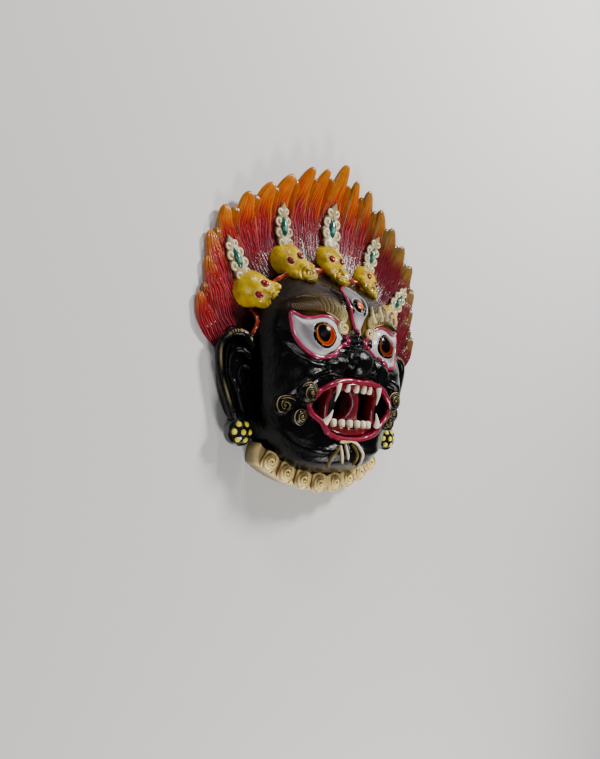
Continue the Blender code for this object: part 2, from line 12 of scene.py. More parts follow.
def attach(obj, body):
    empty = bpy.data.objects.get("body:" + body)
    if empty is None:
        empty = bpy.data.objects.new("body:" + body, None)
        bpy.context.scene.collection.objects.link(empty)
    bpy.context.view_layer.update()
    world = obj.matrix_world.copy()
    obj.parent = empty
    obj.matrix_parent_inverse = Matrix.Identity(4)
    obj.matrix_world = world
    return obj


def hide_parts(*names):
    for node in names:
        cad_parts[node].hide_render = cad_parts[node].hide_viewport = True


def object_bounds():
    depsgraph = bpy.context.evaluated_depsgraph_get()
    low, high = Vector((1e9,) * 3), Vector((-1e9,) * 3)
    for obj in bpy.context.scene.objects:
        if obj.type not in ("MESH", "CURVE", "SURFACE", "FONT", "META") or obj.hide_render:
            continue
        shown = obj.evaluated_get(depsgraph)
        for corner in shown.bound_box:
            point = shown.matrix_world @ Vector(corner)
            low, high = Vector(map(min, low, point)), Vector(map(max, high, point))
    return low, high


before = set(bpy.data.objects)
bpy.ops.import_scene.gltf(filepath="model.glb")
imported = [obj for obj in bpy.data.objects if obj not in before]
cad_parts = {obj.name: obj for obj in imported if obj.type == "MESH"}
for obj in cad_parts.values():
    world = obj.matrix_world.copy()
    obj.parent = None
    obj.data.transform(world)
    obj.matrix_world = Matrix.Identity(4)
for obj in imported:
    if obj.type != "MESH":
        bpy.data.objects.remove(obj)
cad_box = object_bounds()

MM = 0.001
TAU = 2 * np.pi
FACE_WALL = 3.2
CREST_WALL = 3.4
COLLAR_WALL = 4.2

# The casting's main forms, as the part has them
WALL_SLOPE = 8
BELOW_RIM = -8
PROFILE = (
    (-124, 6), (-120, 26), (-113, 42), (-104, 48), (-92, 49), (-78, 52), (-54, 56),
    (-40, 54), (-15, 48), (0, 47.5), (12, 45.5), (21, 39), (29, 30), (36, 21), (45, 12), (56, 5),
)
FACE_HALF_WIDTHS = (
    (-124, 12), (-120, 27), (-112, 43), (-100, 55), (-85, 63), (-60, 69), (-30, 72),
    (-10, 72), (10, 67), (25, 58), (38, 45), (48, 29), (56, 8),
)
FACE_ROUNDNESS = 3.0
FACE_FULLNESS = 0.45
SWELLINGS = (
    ((50, -43), (15, 14), 5),
    ((0, -103), (15, 8), 4),
    ((30, -93), (9, 12), 3),
    ((27, -15), (16, 12), -3),
    ((36, -50), (5, 12), -2.5),
)
# Each fold is its points, the count of places along it, its half width and its height
FOLDS = (
    (((30, -41), (44, -46), (54, -55), (60, -66)), 10, 3.2, 2.4),
    (((29, -44), (41, -50), (50, -60)), 8, 1.5, -1.6),
    (((58, -26), (52, -33), (40, -37.5), (28, -36.5)), 10, 2.4, 1.6),
    (((52, -90), (40, -98), (24, -101), (14, -99)), 10, 3.0, 1.8),
    (((20, 7), (32, 12.5), (46, 13.5), (58, 8)), 10, 4.5, 2.6),
    (((8, 8), (10, 18), (18, 24)), 6, 3.0, 1.5),
    (((62, 0), (64, -14), (62, -30)), 6, 3.5, 1.5),
)
CREST_CENTRE = (0, 10)
CREST_VALLEY = 80
CREST_LOWEST = -27
VALLEY_DEPTH = 2.6
FLARE = 13.5
FLARE_EDGE = 116
FLARE_ANGLES = (20, 62)
INNER_RISE = 4
INNER_WIDTH = 35
LOCK_THICKNESS = 3.4
LOCKS = (
    ((90, -30), (106, -18), (113.5, 7.5), 7.5),
    ((80, -27), (100, 6), (109.8, 35), 8.5),
    ((78, -5), (100, 21.5), (109.8, 53.7), 9.0),
    ((70, 15), (96.6, 44), (100.8, 74.7), 10.0),
    ((62, 25), (86.5, 59), (83.3, 88.7), 10.5),
    ((54, 32), (79, 68), (65, 100.5), 10.5),
    ((44, 40), (67, 76), (47.7, 112), 10.0),
    ((30, 45), (45, 88), (30.3, 123), 9.5),
    ((15, 47), (27, 89), (15.2, 126.8), 8.5),
    ((0, 48), (0, 90), (0, 134.5), 11.0),
)
SKULLS = (
    ((0, 56.5, 3.5), (0, 33, 29)),
    ((43, 47.5, 3.5), (31.5, 30, 28.5)),
    ((73.5, 17, 4.5), (54, 9, 25)),
)
CRANIUM = (14.8, 16.5, 12)
SKULL_EYE = (5.4, 12.3)
SKULL_VOXEL = 0.65
SKULL_SMOOTHING = 4
JEWELS = (
    ((0, 66), (0, 105), 10.5),
    ((45.5, 57), (53, 90), 8.8),
    ((80, 25), (97, 52), 8.8),
)
# Each pair of scrolls is its shares of the length and of the half width, its radius and its turns
JEWEL_SCROLLS = ((0.08, 0.4, 4.2, 1.0), (0.32, 0.5, 4.8, 1.1), (0.57, 0.46, 4.4, 1.1), (0.79, 0.3, 3.4, 1.0))
MOUTH = (
    (0, -47), (14, -47), (27, -51.5), (36, -58), (41, -66), (38, -73), (30, -79), (24, -86),
    (13, -90), (0, -91),
)
LIP = 2.5
MOUTH_RECESS = 15
MOUTH_HOLES = (((32, -65.5), (5.5, 7.5)), ((12.5, -63.5), (6.2, 8.8)))
EYE = (
    (9, -16), (15, -8.5), (21, -3), (27, -0.5), (34, -0.8), (41, -3), (48, -3.3), (55, -0.5),
    (55, -8), (53, -17), (48.5, -25.5), (42, -31), (34, -32), (25, -28.5), (16, -22),
)
IRIS = (32, -15)
IRIS_RADIUS = 9.2
EYE_BULGE = 7
THIRD_EYE = ((-10, 0), (-4, 3), (2, 5.5), (8, 8), (15, 9.6), (21, 9.4), (26, 7), (29, 3), (30.5, 0))
THIRD_EYE_BULGE = 2.6
THIRD_PUPIL = (0.6, 13)
THIRD_GLINT = (0.2, 14.2)
THIRD_DROP = (1.6, 8.6)
BROW = ((12, -5), (15, 1), (22, 5), (30, 7), (38, 7), (47, 6), (58, 5))
UPPER_TEETH = (3.8, 11.3)
LOWER_TEETH = (3.8, 11, 17.8)
# Each fang is the points of its middle line and its half width and half thickness at the root
FANGS = (
    (((20.6, -49.5, 56), (21, -56, 56), (21.5, -63, 53.8)), (2.5, 2.4)),
    (((27, -79.5, 50.5), (24.6, -75, 52.8), (22.3, -69.5, 53.6)), (3.1, 2.8)),
)
CURLS = (((43.5, -58.5), 8.5), ((56.5, -69), 8), ((45.5, -76), 7))
COLLAR_CENTRE = (0, -34)
COLLAR_RADIUS = 94
COLLAR_HALF_WIDTH = 7
COLLAR_SPREAD = 42
COLLAR_HEIGHT = 25
COLLAR_FALL = 9
# The places across the collar and how high the bank stands there, as shares of its height
COLLAR_SECTION = (
    (87.2, 0), (87.2, 0.55), (87.4, 0.9), (88.4, 1), (91, 1), (94, 1), (97, 1), (99.6, 0.98),
    (100.8, 0.88), (101, 0.55), (101, 0),
)
PETALS = 4
PETAL_TURN = 9.6
HANGER_PLACE = (46, 80)
HANGER_HOLE = 8
HANGER_EDGE = 4.5
HANGER_THICKNESS = 3
EARRING = (76.5, -91, 20)
EARRING_RADIUS = 10.5
BEADS = 7
FACE_ROWS = 244
FACE_COLUMNS = 132
BACK_STEP = 1.8
LUG_SIDES = 64
# Lacquer: scales are per metre, depths in metres
MOTTLE_SCALE = 160
MOTTLE_LIGHT = 1.12
GRAIN_SCALE = 900
BRUSH_DEPTH = 0.0012
GRAIN_DEPTH = 0.0004
COAT_ROUGHNESS = 0.12


def shade(red, green, blue):
    """A linear colour from display values of 0 to 255."""
    value = np.array([red, green, blue]) / 255
    return np.where(value <= 0.04045, value / 12.92, ((value + 0.055) / 1.055) ** 2.4)


BLACK = shade(5, 5, 6)
BROWN = shade(52, 34, 22)
CREAM = shade(214, 194, 136)
IVORY = shade(238, 230, 205)
OLIVE = shade(118, 100, 46)
GOLD = shade(196, 148, 48)
SKULL_GOLD = shade(190, 150, 0)
SKULL_LIGHT = shade(224, 190, 8)
SKULL_PAINTED_SHADE = shade(66, 46, 4)
ORANGE = shade(212, 66, 2)
AMBER = shade(204, 122, 10)
RED = shade(172, 16, 16)
CRIMSON = shade(152, 6, 32)
HIGHLIGHT_PINK = shade(228, 138, 156)
MAROON = shade(70, 10, 20)
LIP_PINK = shade(134, 12, 46)
LID_PINK = shade(160, 26, 74)
THROAT = shade(84, 4, 16)
TEAL = shade(10, 84, 66)
SCLERA = shade(112, 110, 116)
WHITE = shade(196, 193, 194)
IRIS_RED = shade(132, 12, 2)
RIBBON = shade(156, 46, 8)
YELLOW = shade(240, 222, 16)
COLLAR_IVORY = shade(255, 226, 146)
COLLAR_PAINTED_SHADE = shade(112, 62, 16)
BRONZE = shade(64, 48, 34)


def mix(a, b, share):
    """Colours between a and b, by a share at each place."""
    share = np.clip(np.asarray(share, float), 0, 1)[..., None]
    return a * (1 - share) + b * share


def hermite(knots, at):
    """A smooth curve through knots of (place, value), read at the places given."""
    places, values = np.array(knots, float).T
    slopes = np.gradient(values, places)
    at = np.clip(at, places[0], places[-1])
    first = np.clip(np.searchsorted(places, at) - 1, 0, len(places) - 2)
    span = places[first + 1] - places[first]
    t = (at - places[first]) / span
    near = (1 + 2 * t) * (1 - t) ** 2 * values[first] + t * (1 - t) ** 2 * span * slopes[first]
    far = t * t * (3 - 2 * t) * values[first + 1] + t * t * (t - 1) * span * slopes[first + 1]
    return near + far


def unit(vectors):
    return vectors / np.linalg.norm(vectors, axis=-1, keepdims=True)


def ramp(low, high, value):
    t = np.clip((value - low) / (high - low), 0, 1)
    return t * t * (3 - 2 * t)


def bell(value, middle, width):
    return np.exp(-(((value - middle) / width) ** 2))


def arched(share):
    """The height of a round arch at shares of its half width, zero outside it."""
    return np.sqrt(np.clip(1 - share**2, 0, 1))


def distance(x, y, centre):
    return np.hypot(x - centre[0], y - centre[1])


def smooth_max(a, b, blend):
    return 0.5 * (a + b + np.sqrt((a - b) ** 2 + blend**2))


def hill(x, y, centre, spread):
    return np.exp(-(((x - centre[0]) / spread[0]) ** 2) - ((y - centre[1]) / spread[1]) ** 2)


def smooth_curve(points, count, closed=False):
    """A Catmull-Rom curve through the points, read at count even steps."""
    points = np.array(points, float)
    if closed:
        padded = np.vstack([points[-1], points, points[:2]])
    else:
        padded = np.vstack([2 * points[0] - points[1], points, 2 * points[-1] - points[-2]])
    spans = len(padded) - 3
    at = np.linspace(0, spans, count, endpoint=not closed)
    first = np.minimum(at.astype(int), spans - 1)
    t = (at - first)[:, None]
    a, b, c, d = (padded[first + step] for step in range(4))
    return 0.5 * (2 * b + (c - a) * t + (2 * a - 5 * b + 4 * c - d) * t**2
                  + (3 * b - a - 3 * c + d) * t**3)


def circle(count, start=0):
    """Even places round a circle of radius 1, from a start that is a share of a step."""
    turn = (np.arange(count) + start) * TAU / count
    return np.column_stack([np.cos(turn), np.sin(turn)])


def mirrored_outline(half):
    half = np.array(half, float)
    return np.vstack([half, half[-2:0:-1] * (-1, 1)])


def gap_to_path(x, y, path):
    """Distance of each place to a path."""
    gap = np.full(np.shape(x), np.inf)
    for start, end in zip(path[:-1], path[1:]):
        run = end - start
        share = np.clip(((x - start[0]) * run[0] + (y - start[1]) * run[1]) / (run @ run), 0, 1)
        gap = np.minimum(gap, np.hypot(x - start[0] - share * run[0], y - start[1] - share * run[1]))
    return gap


def inside_depth(x, y, outline):
    """How far each place is inside the outline, below zero outside it."""
    path = np.vstack([outline, outline[:1]])
    inside = np.zeros(np.shape(x), bool)
    for start, end in zip(path[:-1], path[1:]):
        run = end - start
        rise = run[1] if run[1] else 1.0
        crosses = (start[1] > y) != (end[1] > y)
        inside ^= crosses & (x < start[0] + (y - start[1]) * run[0] / rise)
    nearest = gap_to_path(x, y, path)
    return np.where(inside, nearest, -nearest)


def within(top, inside):
    """The form's top up to its edge, then a steep wall down to below the rim."""
    return np.maximum(np.minimum(top, WALL_SLOPE * inside), BELOW_RIM)


EYE_OUTLINE = smooth_curve(EYE, 60, closed=True)
MOUTH_OUTLINE = smooth_curve(mirrored_outline(MOUTH), 72, closed=True)


def third_eye_half_width(y):
    return np.maximum(hermite(THIRD_EYE, y), 0)


def face_arch(share):
    """The curve across the face, at shares of its half width."""
    return np.clip(1 - share**FACE_ROUNDNESS, 0, 1) ** FACE_FULLNESS


def face_form(x, y):
    """The face without lids, lips, brows and teeth; below the rim outside it."""
    across = np.abs(x)
    share = across / np.maximum(hermite(FACE_HALF_WIDTHS, y), 1)
    dome = hermite(PROFILE, y) * face_arch(share)
    for centre, spread, height in SWELLINGS:
        dome += height * hill(across, y, centre, spread)
    eye = inside_depth(across, y, EYE_OUTLINE)
    dome += EYE_BULGE * np.sin(np.pi / 2 * np.clip(eye / 15, 0, 1))
    leaf = third_eye_half_width(y)
    dome += THIRD_EYE_BULGE * np.clip(leaf / 4, 0, 1) * arched(x / np.maximum(leaf, 0.1))
    recess = inside_depth(x, y, MOUTH_OUTLINE)
    dome -= MOUTH_RECESS * ramp(0, 7, recess)
    edge = np.minimum(y - PROFILE[0][0], PROFILE[-1][0] - y)
    return within(dome, np.minimum(edge, 60 * (1 - share)))


def crest_form(x, y):
    """The dish that carries the hair; below the rim under the ears."""
    away = distance(x, y, CREST_CENTRE)
    angle = np.degrees(np.arctan2(y - CREST_CENTRE[1], np.abs(x)))
    flare = FLARE * ramp(*FLARE_ANGLES, angle)
    outer = np.clip((away - CREST_VALLEY) / (FLARE_EDGE - CREST_VALLEY), 0, 1.3) ** 1.5
    inner = np.clip((CREST_VALLEY - away) / INNER_WIDTH, 0, 1) ** 1.6
    depth = VALLEY_DEPTH + flare * outer + INNER_RISE * inner
    return within(depth, np.radians(angle - CREST_LOWEST) * away)


def collar_turn(x, y):
    """Degrees from the collar's middle, to either side."""
    return np.degrees(np.arctan2(np.abs(x), COLLAR_CENTRE[1] - y))


def collar_depth(turn):
    """How high the collar stands, at degrees from its middle."""
    return COLLAR_HEIGHT - COLLAR_FALL * (turn / COLLAR_SPREAD) ** 1.5


def collar_form(x, y, half_width=COLLAR_HALF_WIDTH, lower=0):
    """The collar's bank, without its petals."""
    away = distance(x, y, COLLAR_CENTRE)
    turn = collar_turn(x, y)
    edge = np.minimum(half_width - np.abs(away - COLLAR_RADIUS), np.radians(COLLAR_SPREAD - turn) * away)
    return within(collar_depth(turn) - lower, edge)


def front(x, y):
    """The casting's main form, on which the carving sits."""
    return smooth_max(np.maximum(face_form(x, y), collar_form(x, y)), crest_form(x, y), 1.5)


def offset_inwards(form, x, y, wall):
    """The form moved in by the wall, measured square to it, as a depth at each place."""
    step = 0.7
    slope_x = (form(x + step, y) - form(x - step, y)) / (2 * step)
    slope_y = (form(x, y + step) - form(x, y - step)) / (2 * step)
    steep = np.minimum(slope_x**2 + slope_y**2, 20)
    return form(x, y) - wall * np.sqrt(1 + steep)


def hollow_form(x, y):
    """The inner surface of the casting."""
    face = offset_inwards(face_form, x, y, FACE_WALL)
    crest = offset_inwards(crest_form, x, y, CREST_WALL)
    collar = collar_form(x, y, COLLAR_HALF_WIDTH - COLLAR_WALL, 1.4 * COLLAR_WALL)
    return np.maximum(np.maximum(face, crest), np.maximum(collar, BELOW_RIM))


def in_mouth_hole(x, y):
    """Below 1 inside one of the holes through the floor of the mouth."""
    nearest = np.full(np.shape(x), np.inf)
    for centre, half_size in MOUTH_HOLES:
        across = np.hypot((np.abs(x) - centre[0]) / half_size[0], (y - centre[1]) / half_size[1])
        nearest = np.minimum(nearest, across)
    return nearest


def cap(x, y, centre, radii):
    """The upper half of an ellipsoid, far below outside it."""
    reach = ((x - centre[0]) / radii[0]) ** 2 + ((y - centre[1]) / radii[1]) ** 2
    return np.where(reach < 1, centre[2] + radii[2] * np.sqrt(np.clip(1 - reach, 0, 1)), -40)


def ridge(x, y, path, radius, height):
    """A rounded ridge's height along a path, zero beside it."""
    return height * bell(gap_to_path(x, y, path), 0, radius)


def carved_face(x, y):
    """The face with its nose, its folds and the ridges under the brows."""
    across = np.abs(x)
    top = face_form(x, y)
    nose = np.maximum(cap(across, y, (0, -32, 53), (15, 11, 9)),
                      cap(across, y, (19.5, -35, 46), (13, 9.5, 11)))
    bridge = cap(x, y, (0, -19, 44), (8.5, 14, 8.5))
    top = smooth_max(top, bridge, 2.0)
    top = smooth_max(top, nose, 5.0)
    top -= 3.6 * hill(across, y, (11, -40.5), (4.2, 3.2))
    top -= 1.6 * ridge(across, y, smooth_curve([(8, -24), (11, -30), (9, -36)], 6), 1.6, 1.0)
    for number in range(3):
        level = -11.5 - 4.2 * number
        fold = smooth_curve([(0, level + 0.5), (5, level - 0.6), (10, level - 1), (15, level + 2.5)], 8)
        top += ridge(across, y, fold, 1.3, 1.5)
    for line, count, radius, height in FOLDS:
        top += ridge(across, y, smooth_curve(line, count), radius, height)
    inside = ramp(0, 5, face_form(x, y))
    return face_form(x, y) * (1 - inside) + top * inside


def surface(x, y):
    """What the separate pieces of carving lie on."""
    return smooth_max(np.maximum(carved_face(x, y), collar_form(x, y)), crest_form(x, y), 1.0)


def on_surface(places, lift):
    places = np.array(places, float)
    return np.column_stack([places, surface(places[:, 0], places[:, 1]) + lift])


class Piece:
    """Bodies gathered into one painted mesh."""

    def __init__(self):
        self.points = []
        self.faces = []
        self.colours = []
        self.count = 0

    def add(self, body, mirror=False):
        points, faces, colours = body
        colours = np.broadcast_to(colours, points.shape)
        self.points.append(points)
        self.faces.append(faces + self.count)
        self.colours.append(colours)
        self.count += len(points)
        if mirror:
            self.add((points * (-1, 1, 1), faces[:, ::-1], colours))

    def add_pair(self, body):
        """The body and its mirror image on the other side of the face."""
        self.add(body, mirror=True)

    def to_object(self, name, material):
        points = np.vstack(self.points) * MM
        points = np.clip(points, cad_box[0], cad_box[1])
        faces = np.vstack(self.faces)
        mesh = bpy.data.meshes.new(name)
        mesh.vertices.add(len(points))
        mesh.vertices.foreach_set("co", points.ravel())
        mesh.loops.add(faces.size)
        mesh.loops.foreach_set("vertex_index", faces.ravel().astype(np.int32))
        mesh.polygons.add(len(faces))
        mesh.polygons.foreach_set("loop_start", np.arange(0, faces.size, 4, dtype=np.int32))
        mesh.polygons.foreach_set("use_smooth", np.ones(len(faces), bool))
        mesh.update(calc_edges=True)
        mesh.validate()
        layer = mesh.color_attributes.new("paint", "FLOAT_COLOR", "POINT")
        colours = np.vstack(self.colours)
        layer.data.foreach_set("color", np.column_stack([colours, np.ones(len(colours))]).ravel())
        mesh.materials.append(material)
        made = bpy.data.objects.new(name, mesh)
        bpy.context.scene.collection.objects.link(made)
        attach(made, "root")
        return made


def grid_faces(rows, columns, wrap_rows=False, wrap_columns=False):
    """Quads between the points of a grid that is stored row by row."""
    index = np.arange(rows * columns).reshape(rows, columns)
    if wrap_rows:
        index = np.vstack([index, index[:1]])
    if wrap_columns:
        index = np.hstack([index, index[:, :1]])
    corners = (index[:-1, :-1], index[:-1, 1:], index[1:, 1:], index[1:, :-1])
    return np.stack(corners, -1).reshape(-1, 4)


def sheet(x, y, z, colours, wrapped=False, flip=1):
    """A body through a grid of places. Its columns may close to a ring, and flip of -1 turns it over."""
    points = np.stack([x, y, z], -1).reshape(-1, 3)
    colours = np.broadcast_to(colours, (*x.shape, 3)).reshape(-1, 3)
    return points, grid_faces(*x.shape, False, wrapped)[:, ::flip], colours


def sweep(path, wide, thick, up=(0, 0, 1), sides=16, power=1.0, closed=False, relief=None, colour=BLACK):
    """A body of flattened round section along a path. relief and colour may be functions of the share
    along the path and the turn round it; relief is added square to the path, in millimetres."""
    path = np.array(path, float)
    count = len(path)
    wide = np.broadcast_to(wide, count)[:, None]
    thick = np.broadcast_to(thick, count)[:, None]
    if closed:
        along = np.roll(path, -1, axis=0) - np.roll(path, 1, axis=0)
    else:
        along = np.gradient(path, axis=0)
    along = unit(along)
    side = unit(np.cross(np.broadcast_to(np.array(up, float), path.shape), along))
    lift = np.cross(along, side)
    turn = np.arange(sides) * TAU / sides
    share = np.linspace(0, 1, count)[:, None]
    across = np.sign(np.cos(turn)) * np.abs(np.cos(turn)) ** power * wide
    upward = np.sign(np.sin(turn)) * np.abs(np.sin(turn)) ** power * thick
    if relief is not None:
        grown = relief(share, turn[None, :]) * np.minimum(1, wide)
        across = across + np.cos(turn) * grown
        upward = upward + np.sin(turn) * grown
    rings = path[:, None] + side[:, None] * across[..., None] + lift[:, None] * upward[..., None]
    points = rings.reshape(-1, 3)
    faces = grid_faces(count, sides, closed, True)
    colours = colour(share, turn[None, :]) if callable(colour) else colour
    colours = np.broadcast_to(colours, (count, sides, 3)).reshape(-1, 3)
    if not closed:
        points = np.vstack([points, path[0], path[-1]])
        colours = np.vstack([colours, colours[0], colours[-1]])
        first, last = count * sides, count * sides + 1
        around = np.arange(sides)
        after = (around + 1) % sides
        tail = (count - 1) * sides
        same = np.full(sides, first)
        faces = np.vstack([
            faces,
            np.column_stack([after[::2], around[::2], np.roll(around, 1)[::2], same[::2]]),
            np.column_stack([around[::2] + tail, after[::2] + tail, same[::2] + 1,
                             np.roll(around, 1)[::2] + tail]),
        ])
    return points, faces, colours


def rounded(count, start, end):
    """Shares of a half width along a body whose first and last stretches round off to its ends."""
    along = np.linspace(0, 1, count)
    share = np.ones(count)
    if start:
        share *= np.sqrt(np.clip(1 - np.clip(1 - along / start, 0, 1) ** 2, 0.0004, 1))
    if end:
        share *= np.sqrt(np.clip(1 - np.clip(1 - (1 - along) / end, 0, 1) ** 2, 0.0004, 1))
    return share


def ellipsoid(centre, radii, axis=(0, 1, 0), up=(0, 0, 1), rings=20, sides=28, colour=BLACK, power=1.0):
    """A closed ellipsoid: radii are across, along the axis and up."""
    centre = np.array(centre, float)
    axis = unit(np.array(axis, float))
    turn = np.linspace(0, np.pi, rings + 2)
    turn[0], turn[-1] = 0.02, np.pi - 0.02
    path = centre - np.cos(turn)[:, None] * axis * radii[1]
    return sweep(path, radii[0] * np.sin(turn), radii[2] * np.sin(turn), up, sides, power, colour=colour)


def fused(bodies, voxel, rounds):
    """One skin round overlapping bodies, smoothed. Returns points and quads."""
    joined = Piece()
    for body in bodies:
        joined.add(body)
    mesh = bpy.data.meshes.new("rough")
    mesh.from_pydata(np.vstack(joined.points).tolist(), [], np.vstack(joined.faces).tolist())
    rough = bpy.data.objects.new("rough", mesh)
    bpy.context.scene.collection.objects.link(rough)
    remesh = rough.modifiers.new("skin", "REMESH")
    remesh.mode = "VOXEL"
    remesh.voxel_size = voxel
    soften = rough.modifiers.new("soften", "SMOOTH")
    soften.factor = 0.5
    soften.iterations = rounds
    bpy.context.view_layer.update()
    smooth = rough.evaluated_get(bpy.context.evaluated_depsgraph_get()).to_mesh()
    points = np.empty(len(smooth.vertices) * 3)
    smooth.vertices.foreach_get("co", points)
    faces = np.array([tuple(face.vertices) for face in smooth.polygons if len(face.vertices) == 4])
    points = points.reshape(-1, 3)
    bpy.data.objects.remove(rough)
    bpy.data.meshes.remove(mesh)
    return points, faces


def set_inputs(node, values):
    for name, value in values.items():
        node.inputs[name].default_value = value


def lacquer(name, roughness, coat, grain, speckle, dark=0.75, shine=0.5):
    """Hand-painted lacquer: the painted colour with brush mottling, fine cast grain and a clear coat."""
    material = bpy.data.materials.new(name)
    material.use_nodes = True
    tree = material.node_tree
    shader = tree.nodes["Principled BSDF"]
    set_inputs(shader, {"Specular IOR Level": shine, "Coat Weight": coat, "Coat Roughness": COAT_ROUGHNESS})

    def node(kind, values):
        made = tree.nodes.new("ShaderNode" + kind)
        set_inputs(made, values)
        return made

    paint = node("Attribute", {})
    paint.attribute_name = "paint"
    place = node("TexCoord", {})
    mottle = node("TexNoise", {"Scale": MOTTLE_SCALE, "Detail": 6, "Roughness": 0.62})
    level = node("MapRange", {"From Min": 0.3, "From Max": 0.7, "To Min": dark, "To Max": MOTTLE_LIGHT})
    tint = node("VectorMath", {})
    tint.operation = "SCALE"
    fine = node("TexNoise", {"Scale": GRAIN_SCALE, "Detail": 4})
    gloss = node("MapRange", {"To Min": roughness * 0.6, "To Max": roughness * 1.5})
    brush = node("Bump", {"Strength": speckle, "Distance": BRUSH_DEPTH})
    cast = node("Bump", {"Strength": grain, "Distance": GRAIN_DEPTH})
    for source, output, target, socket in (
        (place, "Object", mottle, "Vector"),
        (place, "Object", fine, "Vector"),
        (mottle, "Fac", level, "Value"),
        (mottle, "Fac", gloss, "Value"),
        (mottle, "Fac", brush, "Height"),
        (fine, "Fac", cast, "Height"),
        (brush, "Normal", cast, "Normal"),
        (paint, "Color", tint, "Vector"),
        (level, "Result", tint, "Scale"),
        (tint, "Vector", shader, "Base Color"),
        (gloss, "Result", shader, "Roughness"),
        (cast, "Normal", shader, "Normal"),
    ):
        tree.links.new(source.outputs[output], target.inputs[socket])
    return material


GLOSSY = lacquer("black lacquer", 0.11, 0.0, 0.4, 0.6, shine=0.2)
FLAME = lacquer("flame lacquer", 0.2, 0.08, 0.3, 0.25, shine=0.42)
SATIN = lacquer("cream lacquer", 0.38, 0.2, 0.35, 0.35, 0.62)
ENAMEL = lacquer("enamel", 0.18, 0.6, 0.1, 0.12, 0.88)
EYE_ENAMEL = lacquer("eye enamel", 0.13, 0.0, 0.08, 0.1, 0.9, shine=0.13)
GOLDEN = lacquer("golden lacquer", 0.17, 0.1, 0.2, 0.35, 0.55, shine=0.4)
BRIGHT = lacquer("ivory lacquer", 0.34, 0.2, 0.3, 0.3, 0.85)


def even_columns(y, count):
    """Places across the face at which its curve from edge to edge is cut into even lengths."""
    half = hermite(FACE_HALF_WIDTHS, y)
    height = hermite(PROFILE, y)
    share = np.sin(np.linspace(0, np.pi / 2, 400))
    x = half * share
    z = height * face_arch(share)
    length = np.concatenate([[0], np.cumsum(np.hypot(np.diff(x), np.diff(z)))])
    right = np.interp(np.linspace(0, length[-1], count), length, x)
    return np.concatenate([-right[:0:-1], right])


def face_colours(x, y):
    """The face's paint: black, with a painted brown sheen on the forehead, dark red in the mouth and painted
    shade round the mouth's holes.
    """
    across = np.abs(x)
    # Painted sheen: the forehead below the skulls turns dark brown.
    forehead_sheen = ramp(6, 30, y) * (1 - ramp(40, 62, across))
    colours = mix(BLACK, BROWN * 0.3, 0.8 * forehead_sheen)
    brow = ridge(across, y, smooth_curve(BROW, 16), 6, 1)
    colours = mix(colours, mix(GOLD * 0.45, BROWN, ramp(34, 56, across)), 0.75 * brow)
    mouth = inside_depth(x, y, MOUTH_OUTLINE)
    flesh = mix(THROAT * 0.8, LIP_PINK * 0.65, ramp(8, 2, mouth))
    # Painted shade: the flesh round each hole through the mouth darkens to near black.
    flesh = mix(flesh, BLACK * 0.4, ramp(1.75, 1.3, in_mouth_hole(x, y)))
    colours = mix(colours, flesh, ramp(-0.5, 0.8, mouth))
    ledge = ramp(-116, -121, y)
    return mix(colours, BROWN * 1.2, ledge)


def make_face():
    rows = np.linspace(PROFILE[0][0], PROFILE[-1][0], FACE_ROWS)
    x = np.array([even_columns(row, FACE_COLUMNS) for row in rows])
    y = np.broadcast_to(rows[:, None], x.shape)
    z = carved_face(x, y)
    points, faces, colours = sheet(x, y, np.maximum(z, 0), face_colours(x, y))
    hole = in_mouth_hole(x, y).ravel()
    faces = faces[hole[faces].min(1) >= 1]
    face = Piece()
    face.add((points, faces, colours))
    for centre, half_size in MOUTH_HOLES:
        ring = np.array(centre) + 1.12 * np.array(half_size) * circle(40)
        top = np.column_stack([ring, carved_face(*ring.T) + 0.1])
        low = np.column_stack([ring, hollow_form(*ring.T) - 0.5])
        face.add_pair((np.vstack([top, low]), grid_faces(2, 40, False, True), BLACK))
    return face.to_object("face", GLOSSY)


def make_back():
    """The back of the casting, with the lug that the mask hangs by."""
    xs = np.arange(-116, 116.5, BACK_STEP)
    ys = np.arange(-134, 124, BACK_STEP)
    x, y = np.meshgrid(xs, ys, indexing="ij")
    points, faces, colours = sheet(x, y, np.maximum(hollow_form(x, y), 0), BRONZE, flip=-1)
    away = distance(x, y, CREST_CENTRE)
    bank = np.minimum(collar_form(x, y), COLLAR_SPREAD - 4 - collar_turn(x, y))
    solid = np.maximum(np.maximum(face_form(x, y), bank), within(crest_form(x, y), 106 - away))
    keep = (solid > 0.4) & (in_mouth_hole(x, y) > 1)
    faces = faces[keep.ravel()[faces].all(1)]
    back = Piece()
    back.add((points, faces, colours))
    hole = HANGER_HOLE / 2
    rim = hole + HANGER_EDGE
    low, high = HANGER_PLACE
    about = circle(LUG_SIDES, 0.5)
    to_side = rim / np.maximum(np.abs(about[:, 0]), 1e-6)
    to_end = (high - low) / np.maximum(about[:, 1], 1e-6)
    reach = np.where(about[:, 1] > 0, np.minimum(to_side, to_end), rim)
    rings = [
        np.column_stack([(0, low) + about * np.reshape(radius, (-1, 1)), np.full(LUG_SIDES, depth)])
        for radius, depth in ((reach, 0), (reach, HANGER_THICKNESS), (hole, HANGER_THICKNESS), (hole, 0))
    ]
    back.add((np.vstack(rings), grid_faces(4, LUG_SIDES, True, True), BRONZE))
    return back.to_object("back", SATIN)


def lock_path(root, bend, tip, count):
    """A lock of hair's middle line: out from the hairline, then bending to the crown."""
    root, bend, tip = np.array([root, bend, tip], float)
    t = np.linspace(0, 1, count)[:, None]
    return (1 - t) ** 2 * root + 2 * t * (1 - t) * bend + t**2 * tip


STRAND = 1.9
random = np.random.default_rng(19)


